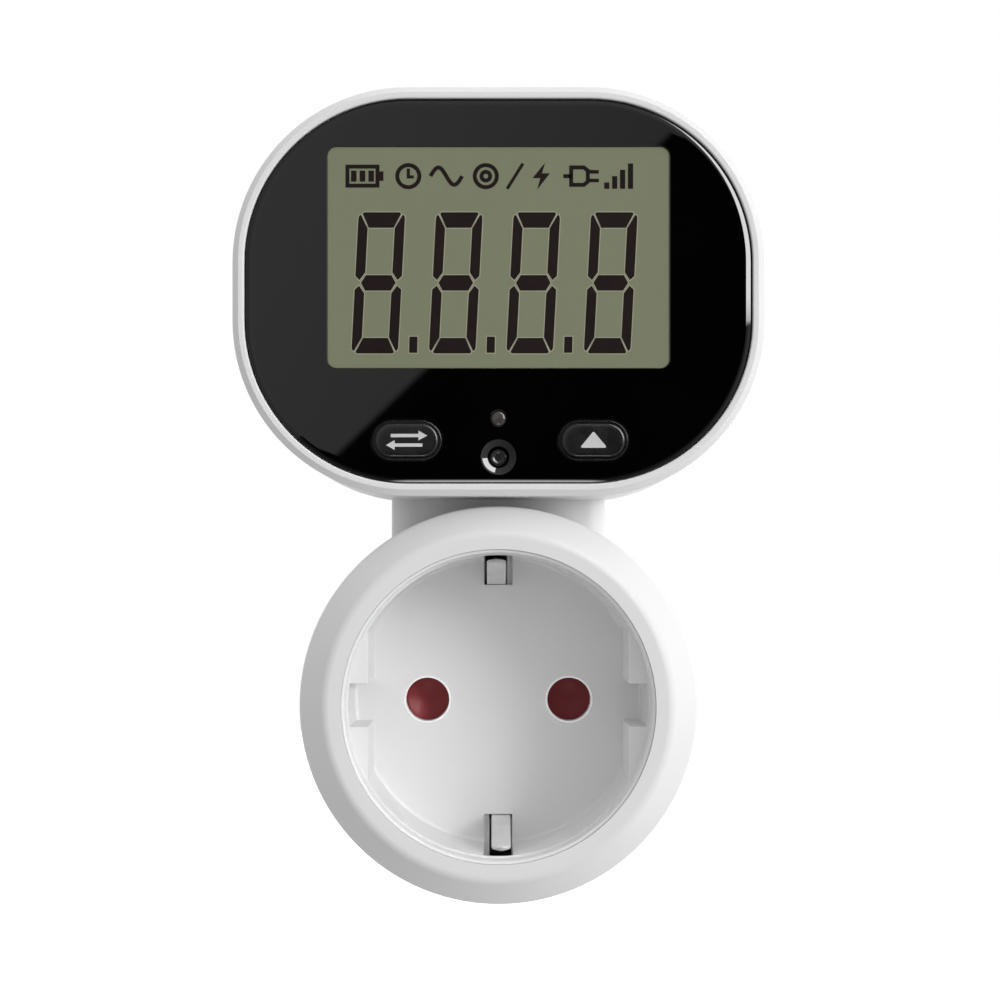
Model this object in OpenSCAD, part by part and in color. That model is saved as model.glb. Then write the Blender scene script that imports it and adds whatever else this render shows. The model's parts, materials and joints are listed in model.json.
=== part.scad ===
// Plug-in power meter: an oval display head on a short stem above a round earthed socket, with a
// two-pin plug on the back. Millimetres. +Z is up, +Y points into the wall and -Y at the reader.
// The origin is the middle of the plug's end face, halfway between the two pins.

/* [Head] */
// Width of the display head
head_w = 68; // [67.6:0.1:69]
// Height of the display head
head_h = 52.4; // [52.2:0.1:53]
// Corner radius of the head's outline
head_r = 22.5; // [22:0.1:22.8]
// Depth of the head, front to back
head_depth = 25; // [25:0.1:26]
// Height of the head's centre above the socket's axis
head_z = 52.6; // [52.4:0.1:53.4]

/* [Stem] */
// Width of the stem that carries the head
stem_w = 28.5; // [27.5:0.1:29.5]
// How far the stem's front lies behind the head's front
stem_setback = 14; // [13.6:0.1:14.4]

/* [Socket] */
// Outer radius of the round body
collar_r = 25.5; // [25.4:0.1:26]
// Distance from the wall face to the ring's front
body_depth = 42; // [42:0.1:44]
// Radius of the mouth of the well that takes the appliance's plug
well_r = 19.5; // [19.4:0.1:19.6]
// Depth of the well
well_depth = 17.5; // [17.3:0.1:17.6]
// Radius of the flat on the ring's front
ring_flat_r = 22.1; // [21.8:0.1:22.4]
// Distance between the two flats of the guides in the well
guide_gap = 33.4; // [33:0.1:34]

/* [Plug] */
// Radius of the plug's nose
nose_r = 18.3; // [18.1:0.1:18.5]
// Length of the plug's nose
nose_len = 17.5; // [17.4:0.1:17.6]
// Distance between the pin centres
pin_pitch = 19; // [18.9:0.1:19.1]
// Radius of a pin
pin_r = 2.4; // [2.35:0.05:2.4]
// Length of a pin outside the nose
pin_len = 19; // [18.5:0.1:19.5]
// Radius of a pin hole in the well
aperture_r = 2.9; // [2.8:0.05:3]

/* [Display] */
// Width of the head's rim around the black face panel
rim_w = 1.85; // [1.8:0.05:1.95]
// Width of the display window
window_w = 43.2; // [42.6:0.1:43.4]
// Height of the display window
window_h = 27.9; // [27.4:0.1:28]
// Height of the window's centre above the panel's centre
window_z = 4.2; // [4:0.1:4.3]

/* [Keys] */
// Distance of each key from the middle
key_x = 11.8; // [11.4:0.1:12]
// Height of the keys from the head's centre
key_z = -18.9; // [-19.1:0.1:-18.7]
// Width of a key
key_w = 8.1; // [7.6:0.1:8.2]
// Height of a key
key_h = 4.3; // [4:0.1:4.4]
// Width of the slit around a key
key_slit = 0.45; // [0.35:0.05:0.5]
// Height of the reset key from the head's centre
reset_z = -21; // [-21.1:0.1:-20.9]
// Height of the status light from the head's centre
light_z = -16.1; // [-16.2:0.1:-16]

/* [Hidden] */
$fn = 64;

// Levels along Y, from the wall side to the front
wall_y = -nose_len;
front_y = wall_y - body_depth;
floor_y = front_y + well_depth;
head_back_y = front_y + head_depth;
stem_front_y = front_y + stem_setback;
parting_y = front_y + 18.5;

// Shell
shell_t = 2;
head_wall = 1.8;
head_edge = 0.85;
back_chamfer = 3;
collar_in = collar_r - shell_t;
ring_chamfer = 3.8;
ring_in = well_r + 0.65;
stem_top = head_z - head_h / 2 + 1.2;
ledge_w = 3.4;
ledge_t = 1.2;

// Nose of the plug
nose_wall = 2;
nose_flat = 16.2;
nose_in_y = -2.5;
rib_x = 17;
rib_w = 2.4;
rib_h = 4.6;

// Face panel
panel_front_y = front_y + 0.25;
panel_t = 1.95;
panel_back_y = panel_front_y + panel_t;
panel_inset = rim_w + 0.15;
panel_w = head_w - 2 * panel_inset;
panel_h = head_h - 2 * panel_inset;
panel_r = head_r - panel_inset;
window_r = 1.2;
window_gap = 0.05;
light_r = 1.05;
reset_hole_r = 1.25;
reset_cone_r = 2.25;
reset_cone_depth = 0.75;

// Display stack, from the film in the panel's window to the board behind the glass
film_t = 0.2;
glass_t = 1.1;
film_y = panel_front_y + 0.2;
glass_y = panel_back_y + 0.4;
rear_glass_y = glass_y + glass_t;
rear_film_y = rear_glass_y + glass_t;
glass_w = 45.6;
glass_top = 18.9;
glass_bottom = -12.6;
glass_ledge = 2.7;
glass_gap = 0.1;
frame_rim = 0.8;
board_y = panel_back_y + 4.8;
board_t = 1;
board_w = 50;
board_h = 46.4;
board_r = 10;
board_posts = [[-20.68, -19.54], [20.68, -19.54], [-8, 21.8], [8, 21.8]];
board_post_r = 1.9;

// Backup cell on the display board
cell_at = [-14, 8];
cell_r = 5.8;
cell_y0 = board_y + board_t + 0.3;
cell_t = 5.3;

// Keys and switches
key_proud = 0.4;
key_lip = 0.9;
key_lip_t = 0.5;
key_lip_y = panel_back_y + 0.2;
switch_size = 6;
switch_y = board_y - 3.2;
plunger_r = 1.6;
reset_plunger_r = 0.9;
reset_lip_r = 1.55;
plunger_gap = 0.08;
plunger_stroke = 1.7;

// Power board in the back of the head
power_y = head_back_y - 5.1;
power_t = 1.6;
power_w = 44;
power_h = 36;
power_z = head_z - 2;
power_r = 6;
power_posts = [[-18.5, 10], [18.5, 10]];
lead_r = 0.8;
lead_end_z = power_z - power_h / 2 + 1;

// Screws of the housing: shank, head, the hole the shank passes and the well the head sinks into
bore_gap = 0.05;
through_r = 1.5;
head_post_x = head_w / 2 - 5.7;
head_post_r = 2.4;
head_screw_r = 1.2;
head_screw_head_r = 2.6;
head_screw_well_r = 2.9;
collar_screw_r = 0.95;
collar_screw_head_r = 2.4;
collar_screw_well_r = 2.6;
collar_tower_r = 2.9;
collar_screw_at = 21.7;
collar_angles = [45, 135, 225, 315];
collar_seat_y = wall_y - 1.7;

// Screws of the boards, the carrier and the shutter
small_r = 0.8;
small_head_r = 1.7;
small_head_t = 1.1;
small_through_r = 0.95;

// Socket insert
insert_wall = 1.7;
floor_t = 2;
floor_back_y = floor_y + floor_t;
insert_lip_y = front_y + 0.35;
guide_front_y = front_y + 4;
guide_notch = 5.5;
slot_w = 3.8;
slot_in = 15.4;
slot_front_y = front_y + 3.6;
deep_r = well_r - 0.25;
mouth_y = slot_front_y - 0.1;
hole_chamfer = 0.35;
pin_x = pin_pitch / 2;
pin_root_r = pin_r + 0.2;

// Shutter
shutter_y0 = floor_back_y + 0.3;
shutter_y1 = shutter_y0 + 1.8;
shutter_arm_r = 3.7;
pivot_r = 2;
pivot_end_y = floor_back_y + 4.4;
washer_t = 0.5;
coil_r = 2.75;
wire_r = 0.22;
coil_turns = 3;
spring_leg = 2.7;

// Contacts
carrier_y0 = floor_back_y + 2.7;
carrier_y1 = carrier_y0 + 9.2;
carrier_ear_t = 2.5;
strip_t = 0.8;
base_y = carrier_y1 + 0.1;
jaw_y = carrier_y0 + 0.1;
jaw_r = 2.35;
jaw_out = 3.05;
foot_y = -21.4;
pin_collar_y = -18.6;
pin_tail_r = 1.4;
pin_collar_r = 3.3;
pin_collar_t = 1.6;
foot_z = -4.8;
carrier_posts = [for (a = [68.5, 248.5]) [9.5 * cos(a), 9.5 * sin(a)]];

// Earth parts
earth_z = 17.1;
earth_w = 6;
bar_y = -22.4;
clip_root_y = -33;
clip_w = 2.5;
clip_t = 0.5;

// ---- shape helpers ----

// Sets a flat shape drawn in X and Z between two levels along Y
module slab(y0, y1) {
    translate([0, y1, 0]) rotate([90, 0, 0]) linear_extrude(y1 - y0) children();
}

// Turns a profile of (radius, level along Y) about the Y axis
module lathe() {
    rotate([-90, 0, 0]) rotate_extrude() children();
}

// Round bar along Y
module rod(r, y0, y1, at = [0, 0]) {
    translate([at[0], y1, at[1]]) rotate([90, 0, 0]) cylinder(r = r, h = y1 - y0);
}

// Rounded rectangle about its centre
module plate(w, h, r) {
    square([w - 2 * r, h], center = true);
    square([w, h - 2 * r], center = true);
    for (x = [-1, 1], z = [-1, 1])
        translate([x * (w / 2 - r), z * (h / 2 - r)]) circle(r);
}

// Rectangle with round ends
module stadium(w, h) {
    square([w - h, h], center = true);
    for (s = [-1, 1])
        translate([s * (w - h) / 2, 0]) circle(h / 2);
}

// Extrudes a flat shape drawn in Y and Z between two places along X
module strip(x0, x1) {
    translate([x0, 0, 0]) rotate([90, 0, 90]) linear_extrude(x1 - x0) children();
}

// Carries a wall profile around a rounded rectangle: the profile's x is the distance outside
// the outline and its y is the level along Y
module around(w, h, r) {
    rotate([-90, 0, 0])
        for (turn = [0 : 3])
            rotate([0, 0, 90 * turn]) {
                a = (turn % 2 == 0 ? w : h) / 2 - r;
                b = (turn % 2 == 0 ? h : w) / 2 - r;
                translate([a, b, 0]) rotate_extrude(angle = 90) translate([r, 0]) children();
                translate([a + r, b, 0]) rotate([90, 0, 0]) linear_extrude(2 * b) children();
            }
}

// Pan-head screw along Y whose head faces +Y
module screw(head_r, head_t, r, len, y_under_head, at = [0, 0]) {
    rod(head_r, y_under_head, y_under_head + head_t, at);
    rod(r, y_under_head - len, y_under_head, at);
}

// Small screw of the boards, the carrier and the shutter
module small_screw(len, y_under_head, at = [0, 0]) {
    screw(small_head_r, small_head_t, small_r, len, y_under_head, at);
}

// Insulated wire through a list of points
module wire(points, r) {
    for (i = [0 : len(points) - 2]) {
        d = points[i + 1] - points[i];
        translate(points[i])
            rotate([0, acos(d[2] / norm(d)), atan2(d[1], d[0])]) cylinder(r = r, h = norm(d));
        if (i > 0)
            translate(points[i]) sphere(r + 0.05);
    }
}

// ---- housing ----

// Outline of the plug's nose: a circle with a flat on each side
module nose_outline(r, flat) {
    intersection() {
        circle(r);
        square([2 * flat, 3 * r], center = true);
    }
}

// Solid of the stem between two levels, with rounded outer corners
module stem_block(y0, y1, r, top) {
    difference() {
        linear_extrude(top) translate([0, (y0 + y1) / 2]) plate(stem_w, y1 - y0, r);
        rod(collar_in + shell_t / 3, y0 - 1, y1 + 1);
    }
}

// Way for the wires from the round body through the stem into the head
module stem_passage(y0, y1) {
    translate([-stem_w / 2 + shell_t, y0, collar_in - 4.5])
        cube([stem_w - 2 * shell_t, y1 - y0, head_z - head_h / 2 - collar_in + 7.5]);
}

// Places its children at each collar screw
module at_collar_screws() {
    for (a = collar_angles)
        translate([collar_screw_at * cos(a), 0, collar_screw_at * sin(a)]) children();
}

// Web that joins a head screw's post to the side wall
module post_web(side) {
    translate([side * (head_post_x + 2.5), 0]) square([3.4, 1.6], center = true);
}

module front_shell() {
    ring_back_y = front_y + 1.9;
    ring_back_slope = 1.9;
    color("whitesmoke") {
        difference() {
            union() {
                translate([0, 0, head_z]) around(head_w, head_h, head_r) polygon([
                    [0, parting_y], [0, front_y + head_edge], [-head_edge, front_y],
                    [-rim_w, front_y], [-rim_w, panel_back_y], [-ledge_w, panel_back_y],
                    [-ledge_w, panel_back_y + ledge_t], [-head_wall, panel_back_y + ledge_t],
                    [-head_wall, parting_y]
                ]);
                lathe() polygon([
                    [ring_in, front_y], [ring_flat_r, front_y],
                    [collar_r, front_y + ring_chamfer], [collar_r, parting_y],
                    [collar_in, parting_y], [collar_in, front_y + 4.5],
                    [collar_in - ring_back_slope, ring_back_y], [ring_in, ring_back_y]
                ]);
                stem_block(stem_front_y, parting_y + 4, 2.4, stem_top);
            }
            stem_passage(stem_front_y + shell_t, parting_y + 5);
            translate([0, parting_y + 5, 0]) cube([80, 10, 180], center = true);
        }
        translate([0, 0, head_z]) {
            for (s = [-1, 1])
                difference() {
                    union() {
                        rod(head_post_r, panel_back_y, parting_y, [s * head_post_x, 0]);
                        slab(panel_back_y, parting_y) post_web(s);
                    }
                    rod(head_screw_r + bore_gap, parting_y - 14, parting_y + 1, [s * head_post_x, 0]);
                }
            for (p = board_posts)
                difference() {
                    rod(board_post_r, panel_back_y, board_y, p);
                    rod(small_r + bore_gap, panel_back_y + 0.6, board_y + 1, p);
                }
        }
    }
}

module rear_shell() {
    back_flat = 6;
    back_in = back_flat - 0.5;
    post_r = 3.2;
    earth_groove_h = 4;
    color("whitesmoke") {
        difference() {
            union() {
                translate([0, 0, head_z]) {
                    around(head_w, head_h, head_r) polygon([
                        [0, parting_y], [0, head_back_y - back_chamfer],
                        [-back_chamfer, head_back_y], [-back_flat, head_back_y],
                        [-back_flat, head_back_y - shell_t],
                        [-back_chamfer - 0.6, head_back_y - shell_t],
                        [-head_wall, head_back_y - back_chamfer - 0.8], [-head_wall, parting_y]
                    ]);
                    slab(head_back_y - shell_t, head_back_y)
                        plate(head_w - 2 * back_in, head_h - 2 * back_in, head_r - back_in);
                }
                stem_block(parting_y - 4, head_back_y, 1.2, stem_top);
                lathe() polygon([
                    [collar_r, parting_y], [collar_r, wall_y - 1], [collar_r - 1, wall_y],
                    [nose_flat - 4, wall_y], [nose_flat - 4, wall_y - shell_t],
                    [collar_in, wall_y - shell_t], [collar_in, parting_y]
                ]);
                slab(wall_y - 1, 0) nose_outline(nose_r, nose_flat);
                for (s = [-1, 1])
                    translate([s * rib_x, (wall_y - 3) / 2, 0])
                        cube([rib_w, -wall_y - 1, rib_h], center = true);
            }
            stem_passage(parting_y - 5, head_back_y - shell_t);
            translate([0, parting_y - 5, 0]) cube([80, 10, 180], center = true);
            slab(wall_y - shell_t - 1, nose_in_y)
                nose_outline(nose_r - nose_wall, nose_flat - nose_wall);
            for (s = [-1, 1]) {
                rod(pin_root_r + bore_gap, nose_in_y - 1, 1, [s * pin_x, 0]);
                translate([0, (wall_y - 1.5) / 2, s * (earth_z + earth_groove_h / 2 - 0.1)])
                    cube([earth_w + 1.6, -wall_y - 1.5, earth_groove_h], center = true);
                translate([0, wall_y - 1, s * (earth_z + strip_t / 2)])
                    cube([earth_w + 0.6, 4, strip_t + 0.4], center = true);
            }
            at_collar_screws() {
                rod(collar_screw_well_r, collar_seat_y, wall_y + 1);
                rod(through_r, wall_y - shell_t - 1, wall_y);
            }
            for (s = [-1, 1])
                translate([s * head_post_x, 0, head_z]) {
                    rod(head_screw_well_r, head_back_y - shell_t + 0.1, head_back_y + 1);
                    rod(through_r, head_back_y - shell_t - 1, head_back_y);
                }
            for (p = power_posts)
                translate([p[0], 0, power_z + p[1]])
                    rod(small_r + bore_gap, head_back_y - shell_t - 0.8, head_back_y - 0.7);
        }
        at_collar_screws() difference() {
            rod(collar_tower_r, floor_back_y, wall_y - shell_t + 0.1);
            rod(through_r, floor_back_y - 1, wall_y);
        }
        translate([0, 0, head_z])
            for (s = [-1, 1])
                difference() {
                    union() {
                        rod(post_r, parting_y, head_back_y - shell_t, [s * head_post_x, 0]);
                        slab(parting_y, head_back_y - shell_t) post_web(s);
                    }
                    rod(through_r, parting_y - 1, head_back_y, [s * head_post_x, 0]);
                }
        for (p = power_posts)
            translate([p[0], 0, power_z + p[1]]) difference() {
                rod(2.2, power_y + power_t, head_back_y - shell_t);
                rod(small_r + bore_gap, power_y, head_back_y);
            }
    }
}

module face_panel() {
    color("black") translate([0, 0, head_z]) difference() {
        slab(panel_front_y, panel_back_y) plate(panel_w, panel_h, panel_r);
        slab(panel_front_y - 1, panel_back_y + 1) {
            translate([0, window_z]) plate(window_w, window_h, window_r);
            for (s = [-1, 1])
                translate([s * key_x, key_z]) stadium(key_w + 2 * key_slit, key_h + 2 * key_slit);
        }
        rod(light_r, panel_front_y - 1, panel_back_y + 1, [0, light_z]);
        rod(reset_hole_r, panel_front_y - 1, panel_back_y + 1, [0, reset_z]);
        translate([0, 0, reset_z]) lathe() polygon([
            [0, panel_front_y - 0.5], [reset_cone_r, panel_front_y - 0.5],
            [reset_cone_r, panel_front_y], [reset_hole_r, panel_front_y + reset_cone_depth],
            [0, panel_front_y + reset_cone_depth]
        ]);
    }
}

module socket_insert() {
    back = floor_back_y;
    out = well_r + insert_wall;
    lip_w = 0.5;
    shoulder_y = front_y + 2;
    boss_len = 9;
    color("whitesmoke") difference() {
        union() {
            lathe() polygon([
                [0, floor_y], [deep_r, floor_y], [deep_r, mouth_y], [well_r, mouth_y],
                [well_r, insert_lip_y], [well_r + lip_w, insert_lip_y], [well_r + lip_w, shoulder_y],
                [out, shoulder_y], [out, back], [0, back]
            ]);
            slab(guide_front_y, floor_y + 0.5) difference() {
                circle(well_r + 0.4);
                square([guide_gap, 3 * well_r], center = true);
                square([3 * well_r, guide_notch], center = true);
            }
            at_collar_screws() rod(1.75, back - boss_len, back);
            rod(pivot_r, back - 0.5, pivot_end_y);
            for (p = carrier_posts)
                rod(2.2, back - 0.5, carrier_y0, p);
        }
        for (s = [-1, 1]) {
            rod(aperture_r, floor_y - 1, back + 1, [s * pin_x, 0]);
            translate([s * pin_x, 0, 0]) lathe() polygon([
                [0, floor_y - 0.5], [aperture_r + hole_chamfer, floor_y - 0.5],
                [aperture_r + hole_chamfer, floor_y], [aperture_r, floor_y + hole_chamfer],
                [0, floor_y + hole_chamfer]
            ]);
            translate([0, (slot_front_y + back + 1) / 2, s * (slot_in + 4)])
                cube([slot_w, back + 1 - slot_front_y, 8], center = true);
        }
        at_collar_screws() rod(collar_screw_r + bore_gap, back - boss_len + 1, back + 1);
        rod(small_r + bore_gap, floor_y + 0.6, pivot_end_y + 1);
        for (p = carrier_posts)
            rod(small_r + bore_gap, back + 0.1, carrier_y0 + 1, p);
    }
}

// ---- display ----

// Sheet that fills the panel's window between two levels
module window_sheet(y0, y1) {
    translate([0, 0, head_z]) slab(y0, y1) translate([0, window_z])
        plate(window_w - 2 * window_gap, window_h - 2 * window_gap, window_r - window_gap);
}

module lcd_front_film() {
    color("darkkhaki") window_sheet(film_y, film_y + film_t);
}

module display_window() {
    color("lightcyan") window_sheet(film_y + film_t, glass_y);
}

// Glass plate of the display between two heights
module lcd_plate(y0, t, bottom, inset) {
    translate([0, 0, head_z]) slab(y0, y0 + t)
        translate([-glass_w / 2 + inset, bottom + inset])
            square([glass_w - 2 * inset, glass_top - bottom - 2 * inset]);
}

module lcd_front_glass() {
    color("lightcyan") lcd_plate(glass_y, glass_t, glass_bottom, 0);
}

module lcd_rear_glass() {
    color("lightcyan") lcd_plate(rear_glass_y, glass_t, glass_bottom + glass_ledge, 0);
}

module lcd_rear_film() {
    color("silver") lcd_plate(rear_film_y, film_t, glass_bottom + glass_ledge, 0.4);
}

module lcd_frame() {
    mid = (glass_top + glass_bottom) / 2;
    h = glass_top - glass_bottom + 2 * glass_gap;
    w = glass_w + 2 * glass_gap;
    shelf_y = rear_film_y + film_t + 0.05;
    color("dimgray") translate([0, 0, head_z]) difference() {
        slab(panel_back_y + 0.1, board_y)
            translate([0, mid]) plate(w + 2 * frame_rim, h + 2 * frame_rim, 3);
        slab(panel_back_y - 1, shelf_y) translate([0, mid]) square([w, h], center = true);
        slab(shelf_y - 0.5, board_y + 1) {
            translate([0, mid + 2]) square([w - 4, h - 8], center = true);
            translate([0, glass_bottom + 1.3]) square([41, 2.3], center = true);
        }
    }
}

module rubber_connector() {
    color("lightpink") translate([-20, rear_glass_y, head_z + glass_bottom + 0.4])
        cube([40, board_y - rear_glass_y, 1.8]);
}

module display_board() {
    color("darkgreen") translate([0, 0, head_z]) difference() {
        slab(board_y, board_y + board_t) plate(board_w, board_h, board_r);
        for (p = board_posts)
            rod(small_through_r, board_y - 1, board_y + board_t + 1, p);
    }
}

module controller_blob() {
    color("black") translate([4, board_y + board_t, head_z + 4]) lathe() polygon([
        [0, 0], [4.5, 0], [4.3, 0.5], [3.4, 1.15], [1.9, 1.6], [0, 1.7]
    ]);
}

module clock_crystal() {
    color("silver") translate([10, board_y + board_t + 1.05, head_z - 4])
        rotate([0, 90, 0]) cylinder(r = 1, h = 6);
}

module backup_cell() {
    color("silver") translate([0, 0, head_z]) {
        rod(cell_r, cell_y0, cell_y0 + cell_t - 1, cell_at);
        rod(cell_r - 0.9, cell_y0 + cell_t - 1.5, cell_y0 + cell_t, cell_at);
    }
}

module cell_tabs() {
    top_y = cell_y0 + cell_t;
    foot_y0 = board_y + board_t;
    t = 0.2;
    color("gold") translate([cell_at[0], 0, head_z + cell_at[1]]) strip(-1.5, 1.5) {
        polygon([
            [top_y, -1], [top_y + t, -1], [top_y + t, cell_r + 1 + t],
            [foot_y0, cell_r + 1 + t], [foot_y0, cell_r + 1], [top_y, cell_r + 1]
        ]);
        polygon([
            [foot_y0, 1], [cell_y0, 1], [cell_y0, -cell_r - 1.5], [foot_y0, -cell_r - 1.5]
        ]);
    }
}

// ---- keys ----

// Square switch with a bore for its plunger
module switch_body(w, h, r, at) {
    translate([0, 0, head_z]) difference() {
        slab(switch_y, board_y) translate(at) plate(w, h, 0.5);
        rod(r, switch_y - 1, switch_y + plunger_stroke, at);
    }
}

module key_switches() {
    color("dimgray") for (s = [-1, 1])
        switch_body(switch_size, switch_size - 0.4, plunger_r + plunger_gap, [s * key_x, key_z]);
}

module reset_switch() {
    color("dimgray") switch_body(4.6, 3.4, reset_plunger_r + plunger_gap, [0, reset_z]);
}

// Plunger between a key's lip and its switch
module plunger(r, at) {
    translate([0, 0, head_z]) rod(r, key_lip_y + key_lip_t, switch_y + 1, at);
}

module mode_plunger() {
    color("goldenrod") plunger(plunger_r, [-key_x, key_z]);
}

module up_plunger() {
    color("goldenrod") plunger(plunger_r, [key_x, key_z]);
}

module reset_plunger() {
    color("goldenrod") plunger(reset_plunger_r, [0, reset_z]);
}

// Key with a chamfered cap and a lip that stays behind the panel
module key(at) {
    cap_y = panel_front_y - key_proud;
    chamfer = 0.5;
    half = (key_w - key_h) / 2;
    translate([at[0], 0, head_z + at[1]]) {
        for (s = [-1, 1])
            translate([s * half, 0, 0]) lathe() polygon([
                [0, cap_y], [key_h / 2 - chamfer, cap_y], [key_h / 2, cap_y + chamfer],
                [key_h / 2, key_lip_y], [0, key_lip_y]
            ]);
        strip(-half, half) polygon([
            [cap_y, chamfer - key_h / 2], [cap_y, key_h / 2 - chamfer],
            [cap_y + chamfer, key_h / 2], [key_lip_y, key_h / 2],
            [key_lip_y, -key_h / 2], [cap_y + chamfer, -key_h / 2]
        ]);
        slab(key_lip_y, key_lip_y + key_lip_t) stadium(key_w + 2 * key_lip, key_h + 2 * key_lip);
    }
}

module mode_key() {
    color("darkslategray") key([-key_x, key_z]);
}

module up_key() {
    color("darkslategray") key([key_x, key_z]);
}

module reset_key() {
    color("darkslategray") translate([0, 0, head_z]) {
        rod(reset_hole_r - 0.1, panel_front_y + reset_cone_depth + 0.2, key_lip_y, [0, reset_z]);
        rod(reset_lip_r, key_lip_y, key_lip_y + key_lip_t, [0, reset_z]);
    }
}

module status_led() {
    color("mintcream") translate([-0.8, board_y - 1.2, head_z + light_z - 0.6])
        cube([1.6, 1.2, 1.2]);
}

module light_pipe() {
    color("gainsboro") translate([0, 0, head_z]) {
        rod(light_r - 0.05, panel_front_y + 0.1, board_y - 1.3, [0, light_z]);
        rod(1.6, panel_back_y + 0.1, panel_back_y + 0.9, [0, light_z]);
    }
}

// ---- power board ----

module ribbon_cable() {
    t = 0.7;
    y0 = board_y + board_t;
    out = (power_y - y0) / 2;
    color("lightgray") translate([0, y0 + out, head_z + 13]) strip(-5, 5) {
        difference() {
            circle(out);
            circle(out - t);
            translate([-2 * out, -2 * out]) square([4 * out, 2 * out]);
        }
        for (s = [-1, 1])
            translate([s * (out - t / 2), -1.4]) square([t, 3], center = true);
    }
}

module power_board() {
    color("darkolivegreen") translate([0, 0, power_z]) difference() {
        slab(power_y, power_y + power_t) plate(power_w, power_h, power_r);
        for (p = power_posts)
            rod(1, power_y - 1, power_y + power_t + 1, p);
    }
}

module mains_capacitor() {
    color("goldenrod") translate([-15, power_y - 5.2, power_z - 13]) cube([13, 5, 11]);
}

module smoothing_capacitor() {
    r = 3.15;
    color("darkslateblue") translate([2.5, power_y - r - 0.1, power_z + 6])
        rotate([0, 90, 0]) cylinder(r = r, h = 11);
}

module varistor() {
    color("royalblue") translate([8, 0, power_z - 9]) rod(4.5, power_y - 3.8, power_y - 0.2);
}

module fusible_resistor() {
    r = 1.6;
    color("lightskyblue") translate([3.5, power_y - r - 0.2, power_z - 0.8])
        rotate([0, 90, 0]) cylinder(r = r, h = 9);
}

module metering_chip() {
    color("black") translate([-9, 0, power_z + 4]) {
        slab(power_y - 1.6, power_y - 0.15) square([9.9, 3.9], center = true);
        for (i = [0 : 7], s = [-1, 1])
            translate([(i - 3.5) * 1.27, 0, s * 2.5])
                slab(power_y - 0.6, power_y) square([0.4, 1.4], center = true);
    }
}

module supply_leads() {
    tab_front_y = base_y - lead_r;
    board_side_y = power_y - lead_r - 0.1;
    strap_side_y = foot_y - lead_r;
    bend_y = floor_back_y + 1.5;
    strap_x = -10.5;
    strap_lead_x = -6.3;
    color("firebrick") {
        for (s = [-1, 1])
            wire([
                [s * pin_x, tab_front_y, 9], [s * pin_x, tab_front_y, 13],
                [s * pin_x, bend_y, 20.5], [s * pin_x, board_side_y, 24],
                [s * pin_x, board_side_y, lead_end_z]
            ], lead_r);
        wire([
            [strap_x, strap_side_y, 5.2], [strap_x, strap_side_y, 9], [strap_lead_x, -30, 15],
            [strap_lead_x, bend_y, 20.5], [strap_lead_x, board_side_y, 24],
            [strap_lead_x, board_side_y, lead_end_z]
        ], lead_r);
    }
}

// ---- contacts ----

// Slit tube that grips a pin, with its base plate and the tab for its lead
module pin_grip() {
    difference() {
        rod(jaw_out, jaw_y, base_y + strip_t);
        rod(jaw_r, jaw_y - 1, base_y + strip_t + 1);
        translate([-0.5, jaw_y - 1, -5]) cube([1, base_y - jaw_y - 1, 10]);
    }
    slab(base_y, base_y + strip_t) difference() {
        translate([0, -0.4]) square([7.8, 8.8], center = true);
        circle(jaw_r + 0.2);
    }
    slab(base_y, base_y + strip_t) translate([-1.5, 3.9]) square([3, 7.6]);
}

// Plate that the tail of a pin is riveted to
module pin_foot(top) {
    slab(foot_y, foot_y + strip_t) difference() {
        translate([-3, foot_z]) square([6, top - foot_z]);
        circle(pin_tail_r + bore_gap);
    }
}

// Riser at the lower edge of a contact between two levels
module riser(y0, y1) {
    translate([-2.5, y0, foot_z]) cube([5, y1 - y0, strip_t]);
}

module live_contact() {
    color("peru") translate([-pin_x, 0, 0]) {
        pin_grip();
        riser(base_y, base_y + 2.6);
    }
}

module neutral_contact() {
    color("peru") translate([pin_x, 0, 0]) {
        pin_grip();
        riser(base_y, foot_y + strip_t);
        pin_foot(3.5);
    }
}

module line_pin_strap() {
    color("peru") translate([-pin_x, 0, 0]) {
        pin_foot(6.5);
        riser(foot_y - 1.6, foot_y + strip_t);
    }
}

module shunt() {
    y0 = base_y + 0.4;
    y1 = foot_y + strip_t - 0.4;
    color("slategray") translate([-pin_x, 0, foot_z - strip_t]) difference() {
        translate([-2.5, y0, 0]) cube([5, y1 - y0, strip_t]);
        for (s = [-1, 1])
            translate([s * 2.5, (y0 + y1) / 2, -1]) cylinder(r = 0.9, h = strip_t + 2);
    }
}

module contact_carrier() {
    color("antiquewhite") difference() {
        union() {
            slab(carrier_y0, carrier_y1) plate(31, 12, 5.5);
            for (p = carrier_posts)
                slab(carrier_y0, carrier_y0 + carrier_ear_t) {
                    translate(p) circle(2.6);
                    translate([p[0], p[1] * 0.62]) square([5.2, 5], center = true);
                }
        }
        for (s = [-1, 1])
            rod(jaw_out + 0.6, carrier_y0 - 1, carrier_y1 + 1, [s * pin_x, 0]);
        rod(4.2, carrier_y0 - 1, carrier_y0 + 4.2);
        for (p = carrier_posts)
            rod(small_through_r, carrier_y0 - 1, carrier_y0 + carrier_ear_t + 1, p);
    }
}

// Plug pin with its collar and the tail that is riveted to a strap
module plug_pin(side) {
    translate([side * pin_x, 0, 0]) lathe() polygon([
        [0, foot_y - 0.6], [2.1, foot_y - 0.6], [2.1, foot_y], [pin_tail_r, foot_y],
        [pin_tail_r, pin_collar_y], [pin_collar_r, pin_collar_y],
        [pin_collar_r, pin_collar_y + pin_collar_t], [pin_root_r, pin_collar_y + pin_collar_t],
        [pin_root_r, 0], [pin_r, 0],
        [pin_r, pin_len - 1.9], [pin_r - 0.35, pin_len - 0.8],
        [pin_r - 1.1, pin_len], [0, pin_len]
    ]);
}

module line_pin() {
    color("lightsteelblue") plug_pin(-1);
}

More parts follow.
